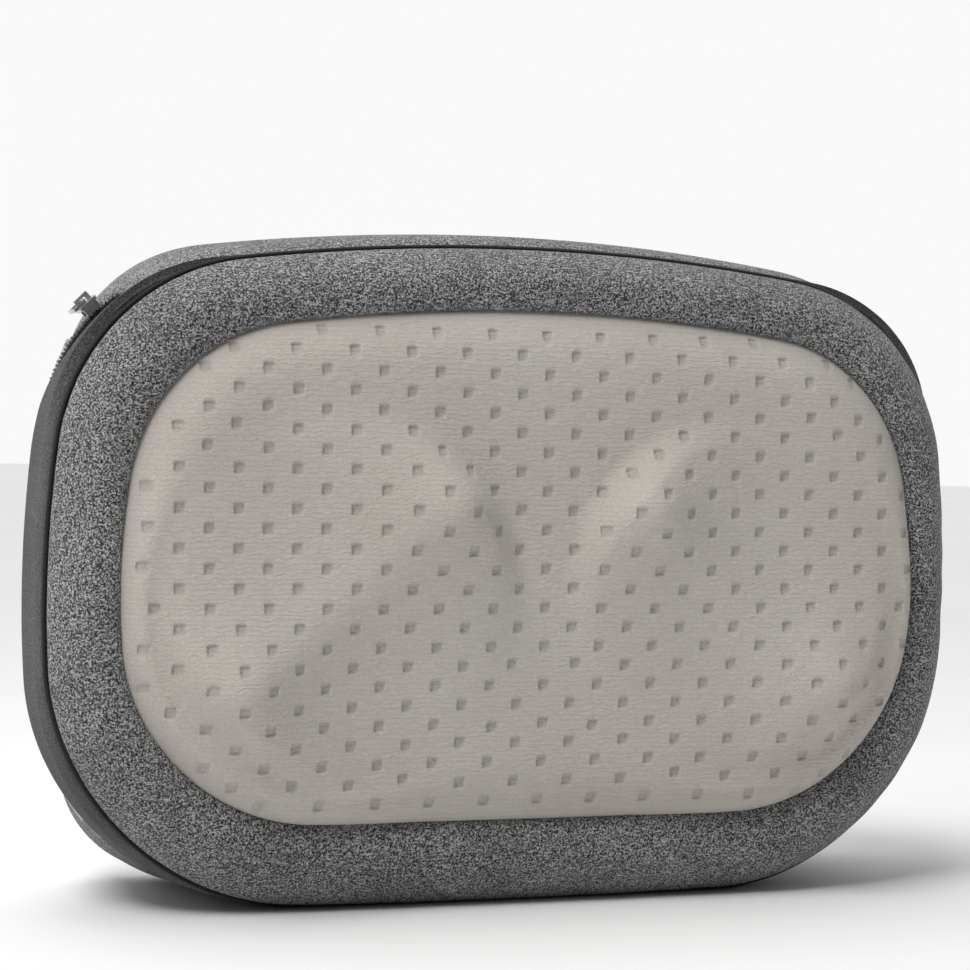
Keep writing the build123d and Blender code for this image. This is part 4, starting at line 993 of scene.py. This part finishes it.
# %% Give every CAD node its finish
kinds = {
    "foam": ("front_foam_ring", "rear_foam_pad"),
    "housing_plastic": ("front_housing", "rear_housing", "gearbox_base", "gearbox_cover",
                        "motor_clamp"),
    "screw_steel": ("housing_screws", "gearbox_screws", "mount_screws", "clamp_screws",
                    "board_screws", "node_screws_left", "node_screws_right", "jack_nut"),
    "mount_rubber": ("rubber_mounts",),
    "bush_brass": ("output_bushes", "shaft_bushes"),
    "motor_steel": ("motor_can",),
    "motor_cap_plastic": ("motor_end_caps",),
    "magnet": ("motor_magnets",),
    "rotor_iron": ("motor_rotor",),
    "copper": ("commutator", "motor_brushes"),
    "shaft_steel": ("motor_shaft", "output_shaft_left", "output_shaft_right",
                    "node_pins_left", "node_pins_right"),
    "worm_steel": ("worm_left", "worm_right"),
    "gear_nylon": ("worm_wheel_left", "worm_wheel_right"),
    "arm_plastic": ("arm_left", "arm_right", "arm_clip_left", "arm_clip_right", "lamp_posts"),
    "node_plastic": tuple(f"massage_node_{s}_{p}" for s in discs for p in ("outer", "inner")),
    "cap_plastic": tuple(f"node_cap_{s}_{p}" for s in discs for p in ("outer", "inner")),
    "lamp_glass": ("heat_lamps",),
    "board_green": ("control_board",),
    "bezel_plastic": ("control_bezel",),
    "button_plastic": ("power_button",),
    "jack_metal": ("dc_jack",),
    "lead_insulation": ("motor_leads",),
    "zip_plastic": ("zipper_coil",),
    "zip_metal": ("zipper_slider", "zipper_pull_ring"),
    "mesh_beige": ("front_mesh_panel",),
    "lining_nylon": ("inner_liner",),
    "melange_cover": ("front_border_fabric", "rear_cover_fabric"),
    "band_fabric": ("zipper_tapes",),
}
dressed = set()
for kind, names in kinds.items():
    for name in names:
        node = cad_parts[name]
        if not node.material_slots:
            node.data.materials.append(finishes[kind])
        for place in node.material_slots:
            place.material = finishes[kind]
        dressed.add(name)
print("nodes without a finish:", sorted(set(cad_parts) - dressed))

# %% Room between the cloth and the nodes
for (side, place), tip in node_tips.items():
    for name in (f"massage_node_{side}_{place}", f"node_cap_{side}_{place}"):
        spots = np.array([v.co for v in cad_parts[name].data.vertices])
        edge = edge_distance(spots[:, 0], spots[:, 2], panel_ring)
        room = spots[:, 1] - cloth_depth(spots[:, 0], spots[:, 2], edge)
        print(name, "cloth clears it by", round(float(room.min()) / mm, 2), "mm")

# %% [markdown]
# ## The studio
# A wide, flat, nearly white floor, a soft light overhead, a smaller one up to the left and a
# broad sun from the same side. The sky is pale behind the pillow and dim in front of it, so the
# top edges are bright and the undersides dark.

# %% Floor, lights and camera
bpy.ops.object.select_all(action="DESELECT")
bpy.ops.mesh.primitive_circle_add(vertices=96, radius=6.0, fill_type="NGON",
                                 location=(0, 0, -0.0002))
floor = bpy.context.active_object
floor.name = "studio_floor"
bpy.ops.object.transform_apply(location=True)
paper = Look("studio_paper", 0.9)
floor.data.materials.append(paper.done(
    paper.ramp(paper.noise(3.0, 2.0), (0.3, 0.86), (0.7, 0.89))))

world = bpy.data.worlds.new("studio_light")
bpy.context.scene.world = world
world.use_nodes = True
sky, joins = world.node_tree.nodes, world.node_tree.links
way = sky.new("ShaderNodeSeparateXYZ")
joins.new(sky.new("ShaderNodeTexCoord").outputs["Generated"], way.inputs[0])
half_turn = sky.new("ShaderNodeMath")
half_turn.operation = "MULTIPLY_ADD"
half_turn.inputs[1].default_value = half_turn.inputs[2].default_value = 0.5
joins.new(way.outputs["Y"], half_turn.inputs[0])
backdrop = sky.new("ShaderNodeValToRGB")
joins.new(half_turn.outputs[0], backdrop.inputs[0])
marks = backdrop.color_ramp.elements
marks[0].position, marks[0].color = 0.38, (0.13, 0.13, 0.13, 1)
marks[1].position, marks[1].color = 0.72, (1.0, 1.0, 1.0, 1)
joins.new(backdrop.outputs[0], sky["Background"].inputs[0])
sky["Background"].inputs[1].default_value = 0.95
bpy.context.scene.view_settings.view_transform = "Standard"


def soft_light(name, place, aim, size, power):
    lamp = bpy.data.lights.new(name, "AREA")
    lamp.shape, lamp.size, lamp.size_y, lamp.energy = "RECTANGLE", size[0], size[1], power
    holder = bpy.data.objects.new(name, lamp)
    bpy.context.scene.collection.objects.link(holder)
    holder.location = place
    holder.rotation_euler = (Vector(aim) - Vector(place)).to_track_quat("-Z", "Y").to_euler()


soft_light("overhead", (-0.25, 0.10, 0.95), (0.0, 0.0, 0.15), (0.6, 0.4), 2.6)
soft_light("upper_left", (-0.55, -0.50, 0.80), (-0.05, -0.02, 0.15), (0.25, 0.25), 1.4)
sun_light = bpy.data.lights.new("window_sky", "SUN")
sun_light.energy, sun_light.angle = 1.5, math.radians(25)
window_sky = bpy.data.objects.new("window_sky", sun_light)
window_sky.rotation_euler = Vector((0.42, 0.30, -0.86)).to_track_quat("-Z", "Y").to_euler()
bpy.context.scene.collection.objects.link(window_sky)

view_point = Vector((0, seam_y, (seam_high.z + seam_low.z) / 2))
azimuth, elevation, roll = math.radians(-21.8), math.radians(3.4), math.radians(1.4)
away = Vector((math.sin(azimuth) * math.cos(elevation),
               -math.cos(azimuth) * math.cos(elevation), math.sin(elevation)))
camera_data = bpy.data.cameras.new("camera")
camera = bpy.data.objects.new("camera", camera_data)
bpy.context.scene.collection.objects.link(camera)
camera.location = view_point + away
camera.rotation_euler = (-away).to_track_quat("-Z", "Y").to_euler()
camera.rotation_euler.rotate_axis("Z", roll)
FRAME, SENSOR = 970, 36      # width of the picture frame, and of the sensor in millimetres
camera_data.lens = 2900 / FRAME * SENSOR
camera_data.shift_x, camera_data.shift_y = -33 / FRAME, 91 / FRAME
camera_data.clip_start = 0.05
bpy.context.scene.camera = camera
